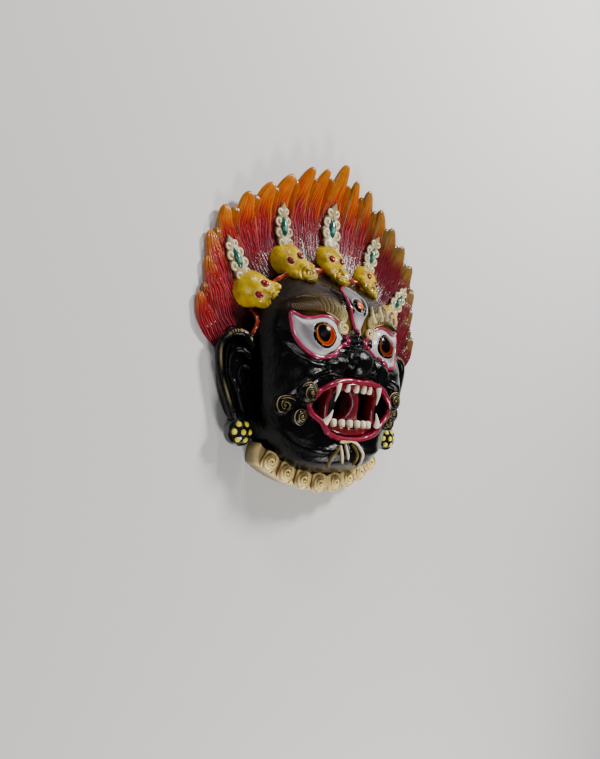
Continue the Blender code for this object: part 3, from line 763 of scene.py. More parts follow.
def lock(line, level, hand, count=92, tops=50, lower=0):
    """A lock of flame hair with wavy strands carved into it, dark at its root and amber at its tip, its
    underside painted in shade.
    """
    root, bend, tip, half_width = line
    unders = 10
    path = lock_path(root, bend, tip, count)
    along = np.linspace(0, 1, count)[:, None]
    run = unit(np.gradient(path, axis=0))
    side = np.column_stack([run[:, 1], -run[:, 0]])
    wide = half_width * (0.7 + 0.3 * ramp(0, 0.5, along[:, 0]))
    wide = wide * (1 - 0.44 * ramp(0.55, 0.95, along[:, 0])) * rounded(count, 0, 0.15)
    across = np.sin(np.linspace(-np.pi / 2, np.pi / 2, tops))[None, :]
    strands = round(2 * half_width / STRAND)
    phase = random.uniform(0, 1, 4)
    sway = 0.09 * np.sin(TAU * (2.1 * along + phase[0]))
    sway = sway + 0.035 * np.sin(TAU * (5.3 * along + phase[1]))
    sway = sway + 0.03 * np.sin(TAU * (3 * along + 2 * across + phase[2]))
    strand_place = (across + sway * (1 - across**2)) * strands / 2
    groove = 0.5 - 0.5 * np.cos(TAU * strand_place)
    pairs = 0.5 - 0.5 * np.cos(np.pi * strand_place + TAU * phase[3])
    least = 0.22 + 0.5 * ramp(0.4, 0.15, level)
    carved = least + (1 - least) * ramp(0.86, 0.6, along)
    calm = (1 - np.abs(across) ** 8) * carved * ramp(1.0, 0.94, along)
    arch = np.clip(1 - np.abs(across) ** (5 - 2.6 * ramp(0.5, 0.85, along)), 0, 1) ** 0.5
    thick = LOCK_THICKNESS * (0.4 + 0.6 * ramp(0.15, 0.7, along)) * rounded(count, 0, 0.1)[:, None]
    base = crest_form(path[:, 0], path[:, 1])[:, None] + 0.2 - lower
    top = base + thick * arch - calm * (0.8 * (1 - groove) + 0.45 * (1 - pairs))
    under_across = np.sin(np.linspace(np.pi / 2, -np.pi / 2, unders))[None, :]
    under = base - thick * arched(under_across**2)
    places = np.concatenate([across + 0 * along, under_across + 0 * along], 1)
    heights = np.concatenate([top, under], 1)
    flat = path[:, None] + side[:, None] * (wide[:, None] * places)[..., None]
    points = np.concatenate([flat, heights[..., None]], -1).reshape(-1, 3)
    points[:, 0] *= hand
    faces = grid_faces(count, tops + unders, False, True)[:, ::hand]
    furrow = groove + (1 - groove) * (1 - np.clip(calm * 1.1, 0, 1)) * 0.75
    colours = flame_colours(level, hand, along, across, furrow, pairs, strand_place)
    # Painted shade: the underside takes the lock's edge colour, darkened.
    edge = np.broadcast_to(colours[:, :1], (count, unders, 3))
    return points, faces, np.concatenate([colours, edge * 0.8], 1).reshape(-1, 3)


def flame_colours(level, hand, along, across, groove, pairs, strand_place):
    """Paint from the root of a lock to its tip, with painted highlights on the strands, painted shade in the
    grooves and on the right side's lower locks. level is 0 beside the ear and 1 at the crown.
    """
    strand = np.floor(strand_place + 40).astype(int)
    tone = random.uniform(-1, 1, 90)[strand]
    fire = mix(CRIMSON, RED, ramp(0.3, 0.62, along + 0.06 * tone))
    fire = mix(MAROON, fire, ramp(0.0, 0.25, along + 0.04 * tone))
    amber = mix(ORANGE, AMBER, 0.35 + 0.4 * tone + 0.5 * ramp(0.7, 1, along))
    reach = 0.5 + 0.2 * (1 - level) + 0.25 * max(0, 0.35 - level) + 0.08 * tone - 0.12 * np.abs(across) ** 3
    fire = mix(fire, amber, ramp(reach, reach + 0.2, along))
    rim = ramp(0.6, 0.95, np.maximum(np.abs(across), ramp(0.86, 1.0, along))) * ramp(0.05, 0.35, level)
    # Painted shade: the right side's rims are dulled toward olive.
    fire = mix(fire, AMBER if hand < 0 else mix(AMBER, OLIVE, 0.6), rim * ramp(0.4, 0.65, along))
    # Painted highlight: pale pink streaks along the tops of the strands.
    gloss = groove**4 * (0.2 + 0.8 * pairs**2) * ramp(0.1, 0.3, along) * ramp(0.78, 0.5, along)
    fire = mix(fire, HIGHLIGHT_PINK, (0.4 + 0.2 * tone) * gloss)
    # Painted shade: the right side's lower locks go dark red, and olive toward the tips.
    if hand > 0:
        right_side_shade = 0.85 * ramp(0.95, 0.5, level)
        fire = mix(fire, mix(MAROON * 2.2, OLIVE, ramp(0.6, 0.85, along)), right_side_shade)
    # Painted shade: the grooves between the strands go dark.
    groove_shade = mix(MAROON * 0.35, fire * 0.3, ramp(0.3, 0.7, along))
    return mix(groove_shade, fire, groove**1.1) * (0.94 + 0.06 * tone)[..., None]


def make_crest(name, hand):
    crest = Piece()
    last = len(LOCKS) - 1
    for number in range(last + 1 if hand < 0 else last):
        crest.add(lock(LOCKS[number], number / last, hand))
    turn = np.radians(np.linspace(CREST_LOWEST + 1, 90, 110))[:, None]
    away = np.linspace(44, 103, 60)[None, :]
    x = hand * (away * np.cos(turn) + CREST_CENTRE[0])
    y = away * np.sin(turn) + CREST_CENTRE[1]
    # Painted shade: the dish between the locks is a darkened maroon.
    crest.add(sheet(x, y, crest_form(x, y) - 0.6, MAROON * 0.6, flip=-hand))
    return crest.to_object(name, FLAME)


def make_under_locks(name, hand):
    """The hair that shows between the locks, a little lower and shorter than they are, and darker as painted
    shade.
    """
    under = Piece()
    last = len(LOCKS) - 1
    for number in range(last):
        pair = zip(LOCKS[number], LOCKS[number + 1])
        root, bend, tip, half_width = ((np.array(a) + b) / 2 for a, b in pair)
        tip = tip * 0.79 + bend * 0.21
        line = (root, bend, tip, float(half_width))
        points, faces, colours = lock(line, (number + 0.5) / last, hand, 64, 40, 0.7)
        # Painted shade: these locks are darkened copies of the ones round them.
        under.add((points, faces, colours * 0.6))
    return under.to_object(name, FLAME)


def heading(foot, tip):
    """The foot, the direction from it to the tip and their distance."""
    foot = np.array(foot, float)
    run = np.array(tip, float) - foot
    length = np.linalg.norm(run)
    return foot, run / length, length


def skull_frame(crown, jaw):
    crown, look, reach = heading(crown, jaw)
    side = unit(np.cross(look, (0, 0, 1)))
    return crown, look, side, np.cross(side, look), reach


def skull(crown, jaw):
    """A skull with a beaked snout that looks from its crown to its jaw."""
    crown, look, side, up, reach = skull_frame(crown, jaw)

    def at(ahead, across, above):
        return crown + look * ahead + side * across + up * above

    forms = [
        ((0, 0, 0), CRANIUM),
        ((reach * 0.42, 0, 0), (12, reach * 0.34, 7.5)),
        ((reach * 0.68, 0, -0.5), (9.5, reach * 0.3, 5)),
        ((reach - 3, 0, 0), (6, 5.5, 2.8)),
        ((reach * 0.6, 0, 4.4), (3, reach * 0.24, 2.8)),
        ((reach - 2.5, 0, 1.6), (6.4, 4.6, 1.6)),
        ((reach - 8, 0, -4.6), (8, 7, 2)),
    ]
    for hand in (-1, 1):
        forms.append(((11, 5.6 * hand, 4.6), (5, 5, 3.4)))
        forms.append(((reach * 0.6, 8 * hand, 0.5), (4, 6.5, 4)))
    bodies = [ellipsoid(at(*place), radii, look, up) for place, radii in forms]
    points, faces = fused(bodies, SKULL_VOXEL, SKULL_SMOOTHING)
    local = points - crown
    ahead, across, above = local @ look, local @ side, local @ up
    bump = 0.22 * np.sin(0.55 * ahead + 1.3 * np.sin(0.4 * across)) * np.sin(0.5 * across + 0.7)
    snout = ramp(reach * 0.58, reach * 0.72, ahead)
    nostril = np.hypot(ahead - reach * 0.86, np.abs(across) - 1.5)
    folds = np.cos(TAU * nostril / 3.3) * ramp(10, 7, nostril)
    seam = bell(above, 0.1 * (reach - ahead) - 1.6, 0.8) * snout
    socket = hill(np.abs(across), ahead, SKULL_EYE, (3.4, 4)) * (above > 0)
    lift = bump * (1 - snout) + snout * 0.6 * folds * (above > 0) - 1.2 * seam - 0.9 * socket
    points = points + lift[:, None] * (up * 0.8 + look * 0.2)
    patches = np.sin(0.35 * ahead + 0.3 * across) * np.sin(0.3 * above + 1)
    colours = mix(SKULL_GOLD, SKULL_LIGHT, 0.5 + 0.5 * patches)
    # Painted shade in the mouth seam and the snout's grooves, and on the skull's underside.
    colours = mix(colours, SKULL_PAINTED_SHADE, 0.8 * seam + 0.7 * snout * (folds < -0.5) * (above > 0))
    colours = mix(colours, SKULL_PAINTED_SHADE, 0.7 * ramp(-2, -8, above))
    result = []
    aside, forward = SKULL_EYE
    for hand in (-1, 1):
        out = unit(up * 0.9 + look * 0.36 + side * 0.2 * hand)
        level = unit(np.cross(out, side))
        beside = np.cross(level, out)
        near = np.hypot(ahead - forward, across - aside * hand) < 2.2
        centre = at(forward, aside * hand, above[near & (above > 0)].max() + 0.4)
        ringed = np.hypot((points - centre) @ beside / 3.3, (points - centre) @ level / 4.1)
        pale = ramp(1.12, 0.98, ringed) * (above > 0)
        colours = mix(colours, mix(CREAM, SKULL_LIGHT, 0.35), pale)
        result.append(ellipsoid(centre - out * 0.9, (2.5, 3.3, 1.3), level, out, 10, 16, RED * 0.6))
    result.append((points, faces, colours))
    return result


def make_skulls():
    skulls = Piece()
    for number, (crown, jaw) in enumerate(SKULLS):
        for body in skull(crown, jaw):
            skulls.add(body, mirror=number > 0)
    return skulls.to_object("skulls", GOLDEN)


def scroll_curve(centre, radius, start, turns, hand, count=34):
    """A spiral that winds in to a bead."""
    share = np.linspace(0, 1, count)
    turn = start + hand * share * turns * TAU
    away = radius * (1 - 0.78 * share**0.8)
    return np.column_stack([centre[0] + away * np.cos(turn), centre[1] + away * np.sin(turn)])


def ivory_scroll(share, turn):
    # Painted shade: the scroll is ivory on top and dark brown down its sides.
    top = ramp(0.1, 0.85, np.sin(turn))
    return mix(COLLAR_PAINTED_SHADE * 0.3, mix(CREAM, IVORY, 0.5 + 0.5 * np.cos(9 * share)), top)


def jewel(foot, tip, half_width):
    """A leaf-shaped jewel of pairs of scrolls round a drop-shaped green stone."""
    foot, run, length = heading(foot, tip)
    side = np.array([run[1], -run[0]])
    ahead = np.arctan2(run[1], run[0])
    along = np.linspace(0, 1, 60)
    spine = foot + run * along[:, None] * length
    leaf = half_width * np.sin(np.pi * np.clip(0.24 + 0.76 * along, 0, 1)) ** 0.7
    leaf = np.maximum(leaf * (0.9 + 0.1 * np.cos(TAU * (3.6 * along - 0.3))), 0.4)
    scale = half_width / 11

    def plate_ivory(share, turn):
        # Painted shade: the plate is ivory on top and dark brown down its sides.
        return mix(COLLAR_PAINTED_SHADE * 0.3, CREAM * 0.6, ramp(0.3, 0.95, np.sin(turn)) + 0 * share)

    bodies = [sweep(on_surface(spine, 1.6), leaf, 3.7, sides=32, power=0.8, colour=plate_ivory)]
    for share, out, radius, turns in JEWEL_SCROLLS:
        for hand in (-1, 1):
            place = foot + run * share * length + side * hand * out * half_width
            curve = scroll_curve(place, radius * scale, ahead + hand * 2.6, turns, hand, 44)
            path = on_surface(curve, 4.0)
            path[:, 2] = path[:, 2].mean() + np.linspace(-0.2, 0.5, len(path))
            thin = rounded(44, 0.2, 0.1)
            bodies.append(sweep(path, 1.45 * scale * thin, 1.3 * thin, sides=12, colour=ivory_scroll))
    for share, wide in ((0.02, 3.4), (0.84, 2.2)):
        place = on_surface([foot + run * share * length], 3.4)[0]
        radii = (wide * scale, 2.2, 1.6)
        bodies.append(ellipsoid(place, radii, (*run, 0), rings=8, sides=14, colour=CREAM))
    for hand in (-1, 1):
        place = on_surface([foot + run * 0.44 * length + side * hand * 0.58 * half_width], 3.8)[0]
        bodies.append(ellipsoid(place, (1.2, 1.5, 1.2), rings=8, sides=12, colour=RED * 0.8))
    flame = on_surface(foot + run * np.linspace(0.84, 1.04, 12)[:, None] * length, 3.0)
    wide, thick = np.linspace((2.4, 1.8), (0.3, 0.4), 12).T
    bodies.append(sweep(flame, wide, thick, sides=10, colour=RED * 0.85))
    return bodies


def stone(foot, tip, half_width):
    foot, run, length = heading(foot, tip)
    spine = on_surface(foot + run * np.linspace(0.2, 0.72, 30)[:, None] * length, 5.0)
    spine[:, 2] = spine[:, 2].mean()
    drop = np.sin(np.pi * np.linspace(0.02, 0.99, 30) ** 0.8)

    def green(share, turn):
        # Painted highlight: a pale glint near the top of the stone; painted shade darkens its sides.
        glint = ramp(0.8, 0.97, np.sin(turn)) * ramp(0.2, 0.3, share) * ramp(0.5, 0.4, share)
        return mix(TEAL * (0.7 + 0.3 * np.sin(turn))[..., None], shade(150, 215, 195), 0.5 * glint)

    return sweep(spine, 3.7 * half_width / 11 * drop + 0.05, 2.6 * drop + 0.05, sides=18, colour=green)


def make_jewels():
    jewels = Piece()
    stones = Piece()
    for number, (foot, tip, half_width) in enumerate(JEWELS):
        for body in jewel(foot, tip, half_width):
            jewels.add(body, mirror=number > 0)
        stones.add(stone(foot, tip, half_width), mirror=number > 0)
    jewels.to_object("jewels", SATIN)
    stones.to_object("stones", ENAMEL)


def make_ribbon():
    ribbon = Piece()

    def folded(share, turn):
        return 0.3 * np.sin(TAU * 9 * share) * (np.sin(turn) > 0)

    link = on_surface(smooth_curve([(72, 14), (60, 22), (45, 33), (22, 41), (0, 43)], 60), 0.8)
    ribbon.add_pair(sweep(link, 2.3, 1.0, sides=14, relief=folded, colour=RIBBON))
    end = on_surface(smooth_curve([(70, 8), (69.5, -6), (71.5, -22)], 40), 1.2)
    ribbon.add_pair(sweep(end, 2.6 * rounded(40, 0.1, 0.1), 1.1, sides=14, relief=folded, colour=RIBBON))
    return ribbon.to_object("ribbon", FLAME)


def from_iris(x, y):
    """Distance to the middle of the nearer iris, which is a little flat."""
    return np.hypot(np.abs(x) - IRIS[0], (y - IRIS[1]) * 1.06)


def eye_colours(x, y):
    """A sclera that greys inwards from its white border, and the ringed iris with its pupil, painted in
    shade on the right eye.
    """
    across = np.abs(x)
    depth = inside_depth(across, y, EYE_OUTLINE)
    grey = ramp(2.5, 6.5, depth) * ramp(26, 38, across)
    colours = mix(WHITE, SCLERA, 0.9 * grey)
    colours = mix(WHITE * 0.85, colours, ramp(0, 2.2, depth))
    away = from_iris(x, y)
    colours = mix(colours, BLACK, ramp(IRIS_RADIUS + 1.5, IRIS_RADIUS + 0.9, away))
    iris = mix(IRIS_RED, shade(156, 30, 2), ramp(-4, 6, IRIS[1] - y) * 0.6)
    # Painted shade: the right eye's iris and rings are darker copies of the left's.
    right_eye_shade = np.where(x > 0, 0.42, 1.0)[..., None]
    iris = iris * right_eye_shade
    ring = mix(GOLD, ORANGE, 0.6) * 0.8 * right_eye_shade
    colours = mix(colours, ring, ramp(IRIS_RADIUS - 0.6, IRIS_RADIUS - 0.9, away))
    colours = mix(colours, iris, ramp(IRIS_RADIUS - 1.2, IRIS_RADIUS - 1.6, away))
    pupil = np.hypot((x + 1.9 - np.sign(x) * IRIS[0]) / 0.9, (y - IRIS[1] - 1.1) / 1.08)
    colours = mix(colours, mix(GOLD, ORANGE, 0.5) * 0.6 * right_eye_shade, 0.6 * ramp(6.7, 6.3, pupil))
    return mix(colours, BLACK * 0.5, ramp(6.2, 5.9, pupil))


def third_eye_colours(x, y):
    leaf = np.maximum(third_eye_half_width(y), 0.3)
    share = np.abs(x) / leaf
    colours = mix(SCLERA * 0.95, WHITE, ramp(8, -4, y))
    colours = mix(colours, WHITE, ramp(0.72, 0.95, share) * (x > 0))
    away = distance(x, y, THIRD_PUPIL)
    colours = mix(colours, WHITE, ramp(6.6, 6.2, away))
    colours = mix(colours, BLACK, ramp(6.1, 5.7, away))
    colours = mix(colours, shade(222, 84, 20), ramp(3.3, 2.9, away))
    colours = mix(colours, WHITE, ramp(1.1, 0.7, distance(x, y, THIRD_GLINT)))
    return mix(colours, WHITE, ramp(1.0, 0.6, distance(x, y, THIRD_DROP)) * 0.8)


def make_eyes():
    """The painted eyeballs: a fan of fine rings inside each lid."""
    eyes = Piece()
    outline = smooth_curve(EYE, 150, closed=True)
    rings = np.linspace(0.02, 1, 60)[:, None, None]
    centre = np.array(IRIS, float)
    for hand in (-1, 1):
        places = centre + rings * (outline - centre)
        x, y = places[..., 0] * hand, places[..., 1]
        away = from_iris(x, y)
        lens = arched(away / IRIS_RADIUS) - 0.5 * bell(away, IRIS_RADIUS + 0.7, 0.7)
        eyes.add(sheet(x, y, face_form(x, y) + 0.3 + lens, eye_colours(x, y), True, -hand))
    rows = np.linspace(-9.9, 29.9, 90)[:, None]
    share = np.linspace(-1, 1, 60)[None, :]
    x = share * third_eye_half_width(rows)
    y = np.broadcast_to(rows, x.shape)
    ball = 1.8 * arched(distance(x, y, THIRD_PUPIL) / 5.8)
    eyes.add(sheet(x, y, face_form(x, y) + 0.5 + ball, third_eye_colours(x, y)))
    return eyes.to_object("eyes", EYE_ENAMEL)


def make_lids():
    lids = Piece()

    def pink(share, turn):
        # Painted shade: the rim's underside is a darker pink.
        tone = mix(LID_PINK, LID_PINK * 0.55, 0.5 - 0.5 * np.sin(turn))
        return tone * (0.9 + 0.1 * np.cos(60 * share))[..., None]

    outline = smooth_curve(EYE, 140, closed=True)
    x, y = outline.T
    wide = 1.3 + 0.9 * hill(x, y, EYE[0], (9, 9)) + 0.5 * ramp(-16, -26, y)
    lids.add_pair(sweep(on_surface(outline, 0.4), wide, 1.8, sides=14, closed=True, colour=pink))
    corner = on_surface([(9.5, -18.5)], 0.2)[0]
    tear = ellipsoid(corner, (2.6, 3.4, 2.0), (1, 0.3, 0), rings=10, sides=14, colour=LID_PINK)
    lids.add_pair(tear)
    rows = np.linspace(-10, 30.5, 60)
    edge = np.column_stack([third_eye_half_width(rows) + 0.2, rows])
    left = on_surface(edge * (-1, 1), 0.7)
    lids.add(sweep(left, 1.3 * rounded(60, 0.1, 0.08), 1.4, sides=12, colour=pink))
    lids.add(sweep(on_surface(edge, 0.5), 0.7, 1.1, sides=12, colour=WHITE * 0.85))
    return lids.to_object("lids", ENAMEL)


def make_brows():
    """Brows of fine curved strokes that break into pointed flames, with a curl at the inner end."""
    brows = Piece()
    line = smooth_curve(BROW, 400)
    run = unit(np.gradient(line, axis=0))
    rise = np.column_stack([-run[:, 1], run[:, 0]])
    strokes = 84
    dark = mix(GOLD * 0.3, BROWN * 0.8, 0.6)
    for number in range(strokes):
        place = int(12 + 370 * number / strokes)
        share = number / strokes
        length = 9 * np.sin(np.pi * np.clip(0.2 + 0.8 * share, 0, 1)) ** 0.5
        start = line[place] - rise[place] * 3.8
        middle = line[place] + run[place] * 1.2
        end = line[place] + rise[place] * (length - 3.6) + run[place] * length * 0.7
        path = on_surface(smooth_curve([start, middle, end], 12), 0.8 + 0.5 * (number % 2))
        tone = mix(CREAM, dark, 1.5 * share - 0.1 + (0, 0.5, 0.25)[number % 3])
        brows.add_pair(sweep(path, 0.46 * rounded(12, 0.2, 0.6), 1.0, sides=8, colour=tone))
    for number in range(5):
        place = int(96 + 64 * number)
        root = line[place] - rise[place] * 1.0
        bend = line[place] + rise[place] * 5 - run[place] * 0.4
        point = line[place] + rise[place] * (11 - 1.1 * number) + run[place] * 4.5
        path = on_surface(smooth_curve([root, bend, point], 24), 1.3)
        tone = mix(CREAM, GOLD * 0.5, 0.14 * number)
        brows.add(sweep(path, 2.3 * np.linspace(1, 0.15, 24), 1.7, sides=12, colour=tone))
    curl = scroll_curve((13.8, -7.0), 5.2, 1.2, 1.5, -1, 60)
    curl = sweep(on_surface(curl, 1.5), 1.3 * rounded(60, 0.05, 0.05), 1.7, sides=12, colour=CREAM)
    brows.add_pair(curl)
    band = on_surface(line[20:200:6] - rise[20:200:6] * 4.2, 0.5)
    half = 0.8 * rounded(len(band), 0.1, 0.4)
    brows.add_pair(sweep(band, half, 1.1, sides=10, colour=mix(CREAM, GOLD, 0.4)))
    return brows.to_object("brows", SATIN)


def make_mouth():
    """Glossy lips round the open mouth, gums, palate, webs behind the fangs and the tongue."""
    mouth = Piece()

    def lip_pink(share, turn):
        patchy = 0.5 + 0.5 * np.sin(TAU * 7 * share) * np.sin(TAU * 17 * share)
        # Painted shade: the lip's underside goes dark red; its brightness also varies along it.
        return mix(LIP_PINK, THROAT, 0.7 * ramp(0.2, -0.8, np.sin(turn))) * (0.85 + 0.15 * patchy)[..., None]

    def creased(share, turn):
        creases = np.cos(TAU * 21 * share + 3 * np.sin(TAU * 5 * share))
        return 0.1 * creases * (np.sin(turn) > -0.3)

    outline = smooth_curve(mirrored_outline(MOUTH), 260, closed=True)
    depth = front(outline[:, 0] * 1.06, (outline[:, 1] + 68) * 1.06 - 68) + 0.6
    lip = np.column_stack([outline, depth])
    mouth.add(sweep(lip, LIP * 0.84, LIP, sides=22, closed=True, relief=creased, colour=lip_pink))
    palate = [(-24, -55, 48), (-12, -51, 52), (0, -50, 53), (12, -51, 52), (24, -55, 48)]
    gum = [(-24, -80, 43), (-12, -84, 46), (0, -85, 47), (12, -84, 46), (24, -80, 43)]
    for places, wide in ((palate, 3.6), (gum, 4.2)):
        mouth.add(sweep(smooth_curve(places, 60), wide, 4.2, sides=16, colour=CRIMSON * 0.42))
    tongue = smooth_curve([(0, -82, 43), (0, -74, 48), (0, -64, 51), (0, -54, 49)], 60)

    def furrow(share, turn):
        return 0.7 * bell(turn, np.pi / 2, 0.3) * ramp(0.1, 0.4, share)

    half = hermite(((0, 14), (0.2, 10), (0.42, 5.6), (0.7, 4), (1, 6)), np.linspace(0, 1, 60))
    mouth.add(sweep(tongue, half, 3.4, sides=40, relief=furrow, colour=mix(THROAT, LIP_PINK, 0.3)))
    web = smooth_curve([(23, -54, 48), (24, -66, 44), (24, -78, 44)], 30)
    mouth.add_pair(sweep(web, 2.6, 5, sides=16, colour=CRIMSON * 0.5))
    return mouth.to_object("mouth", ENAMEL)


def tooth(x, y, z, size, hand):
    """A peg tooth: broad at its edge, narrower at the gum."""
    centre = np.array([x, y, z], float)
    path = centre + np.linspace(-1, 1, 18)[:, None] * np.array([0, size[1] * hand, -0.4])
    wide = size[0] * (0.82 + 0.18 * np.linspace(-1, 1, 18)) * rounded(18, 0.15, 0.22)

    def bone(share, turn):
        return mix(shade(196, 150, 120), IVORY, ramp(0.05, 0.4, share) + 0 * turn)

    return sweep(path, wide, size[2] * rounded(18, 0.15, 0.3), sides=14, power=0.75, colour=bone)


def make_teeth():
    teeth = Piece()
    for x in UPPER_TEETH:
        teeth.add_pair(tooth(x, -52.4, 57.2 - x * x / 70, (2.1, 3.3, 2.1), -1))
    for x in LOWER_TEETH:
        teeth.add_pair(tooth(x, -79.0, 52.6 - x * x / 110, (2.6, 3.2, 2.4), 1))
    for line, root in FANGS:
        wide, thick = np.linspace(root, (0.35, 0.35), 30).T
        teeth.add_pair(sweep(smooth_curve(line, 30), wide, thick, sides=16, colour=IVORY))
    return teeth.to_object("teeth", ENAMEL)


def make_curls():
    """Three spiral curls beside each corner of the mouth, black with pale outlines."""
    curls = Piece()
    for number, (place, radius) in enumerate(CURLS):
        base = on_surface([place], -0.5)[0]
        curls.add_pair(ellipsoid(base, (radius, radius, 4.2), colour=BLACK))
        start = (0.4, 2.6, 4.4)[number]
        curve = scroll_curve(place, radius - 0.8, start, 1.7, (1, -1, 1)[number], 90)
        share = np.linspace(0, 1, 90)
        path = np.column_stack([curve, np.full(90, base[2] + 1.2) + 2.6 * share])
        path[:, 2] = np.maximum(path[:, 2], surface(curve[:, 0], curve[:, 1]) + 0.7)

        def outlined(share, turn):
            tone = mix(CREAM, OLIVE, 0.5 + 0.5 * np.cos(TAU * (2 * share + 0.2)))
            rims = ramp(0.45, 0.62, np.sin(turn)) * ramp(0.95, 0.8, np.sin(turn))
            return mix(BLACK, tone, 0.6 * rims)

        thin = rounded(90, 0.06, 0.04)
        curls.add_pair(sweep(path, 1.3 * thin, 1.6 * thin, sides=26, colour=outlined))
        bead = (place[0], place[1], path[-1, 2])
        curls.add_pair(ellipsoid(bead, (1.4, 1.4, 1.3), rings=10, sides=14, colour=OLIVE))
    return curls.to_object("curls", GLOSSY)


BEARD = (
    (((-11, -95.5), (-9.4, -102), (-6, -109)), 1.15, IVORY),
    (((-5.7, -94.3), (-4.9, -100), (-2.7, -106)), 1.1, IVORY),
    (((-1.8, -92), (6.3, -94), (10.2, -98.7), (13.9, -104.3), (14.4, -109), (13.3, -112)), 1.2, IVORY),
    (((-13, -97), (-17, -105), (-15, -113)), 0.8, OLIVE),
    (((1, -94.5), (4.5, -99), (6.5, -105), (6, -110)), 0.8, OLIVE),
    (((-11, -93), (-4.4, -92.4), (1, -92)), 1.8, CREAM),
)


def make_beard():
    """A tuft under the lip with two spikes, an arched strand to its right and thin ones beside them."""
    beard = Piece()
    for places, half_width, tone in BEARD:
        line = on_surface(smooth_curve(places, 50), 0.9)

        def strand(share, turn):
            # Painted shade: the strand is pale on top and dark gold down its sides.
            body = mix(GOLD * 0.4, tone, ramp(0.1, 0.7, np.sin(turn)))
            return mix(body, BROWN, 0.5 * ramp(0.8, 1, share))

        beard.add(sweep(line, half_width * rounded(50, 0.3, 0.5), 1.8, sides=14, colour=strand))
    return beard.to_object("beard", SATIN)


EAR_RIM = (
    (72, -28, 15), (80, -19, 14), (90, -20, 12), (96, -30, 9), (93.5, -48, 8), (87, -66, 9), (81, -82, 12),
)
# Each fold is its points, the count of places along it, its rounded ends, its half width and half
# thickness, and its sides
EAR_FOLDS = (
    (((73, -36, 14), (80, -31, 13), (87, -34, 11), (87, -48, 9), (80, -62, 11), (76, -76, 14)),
     90, (0, 0), 2.5, 3.2, 16),
    (((72, -44, 13), (78, -42, 11.5), (80, -50, 10.5), (76, -60, 12)), 50, (0.2, 0.3), 1.9, 2.6, 14),
    (((91, -27, 11.5), (91, -38, 9.5), (88.5, -52, 9), (83, -68, 10)), 50, (0.2, 0.3), 1.2, 1.8, 12),
)


def make_ears():
    """Long ears: a shell, a raised rim round it, folds inside, and the lobe that the roundel hangs on."""
    ears = Piece()
    ears.add_pair(ellipsoid((77.5, -50, 3), (16.5, 38, 9), (0.2, 1, 0), rings=40, sides=40))
    path = smooth_curve(EAR_RIM, 110)

    def patchy(share, turn):
        # Painted highlight: pale specks near the top and a thin pale line along the rim, only where the rim
        # faces up.
        specks = ramp(0.3, 0.9, np.sin(TAU * 43 * share + 5 * np.sin(TAU * 7 * share)))
        specks = specks * ramp(0.03, 0.1, share) * ramp(0.4, 0.25, share)
        line = 0.4 * ramp(0.3, 0.4, share) * (0.5 + 0.5 * np.sin(TAU * 4 * share))
        sheen = np.sin(turn + 0.3)
        return mix(BLACK, CREAM, 0.5 * specks * ramp(0.94, 0.99, sheen) + line * ramp(0.98, 0.998, sheen))

    ears.add_pair(sweep(path, 3.3, 3.6, sides=18, colour=patchy))
    for places, count, ends, wide, thick, sides in EAR_FOLDS:
        fold = smooth_curve(places, count)
        ears.add_pair(sweep(fold, wide * rounded(count, *ends), thick, sides=sides))
    x, y, _ = EARRING
    ears.add_pair(ellipsoid((x - 3, y + 8, 6), (9, 13, 8)))
    return ears.to_object("ears", GLOSSY)


def make_earrings():
    earrings = Piece()
    x, y, top = EARRING
    radii = (EARRING_RADIUS, EARRING_RADIUS, top * 0.5)
    earrings.add_pair(ellipsoid((x, y, top * 0.5), radii, rings=30, sides=36))
    round_bead = np.column_stack([circle(60), np.zeros(60)])
    ring = (x, y, top * 0.72) + 9.6 * round_bead
    earrings.add_pair(sweep(ring, 1.1, 1.3, sides=10, closed=True))
    for number in range(BEADS):
        angle = number * TAU / (BEADS - 1)
        away = 6.2 if number else 0
        bead = (x + away * np.cos(angle), y + away * np.sin(angle), top - (2.9 if number else 0.9))
        earrings.add_pair(ellipsoid(bead, (2.25, 2.25, 2.2), rings=10, sides=16, colour=YELLOW))
        cup = np.array(bead) - (0, 0, 0.7) + 2.6 * round_bead
        earrings.add_pair(sweep(cup, 0.55, 0.7, sides=8, closed=True))
    return earrings.to_object("earrings", ENAMEL)


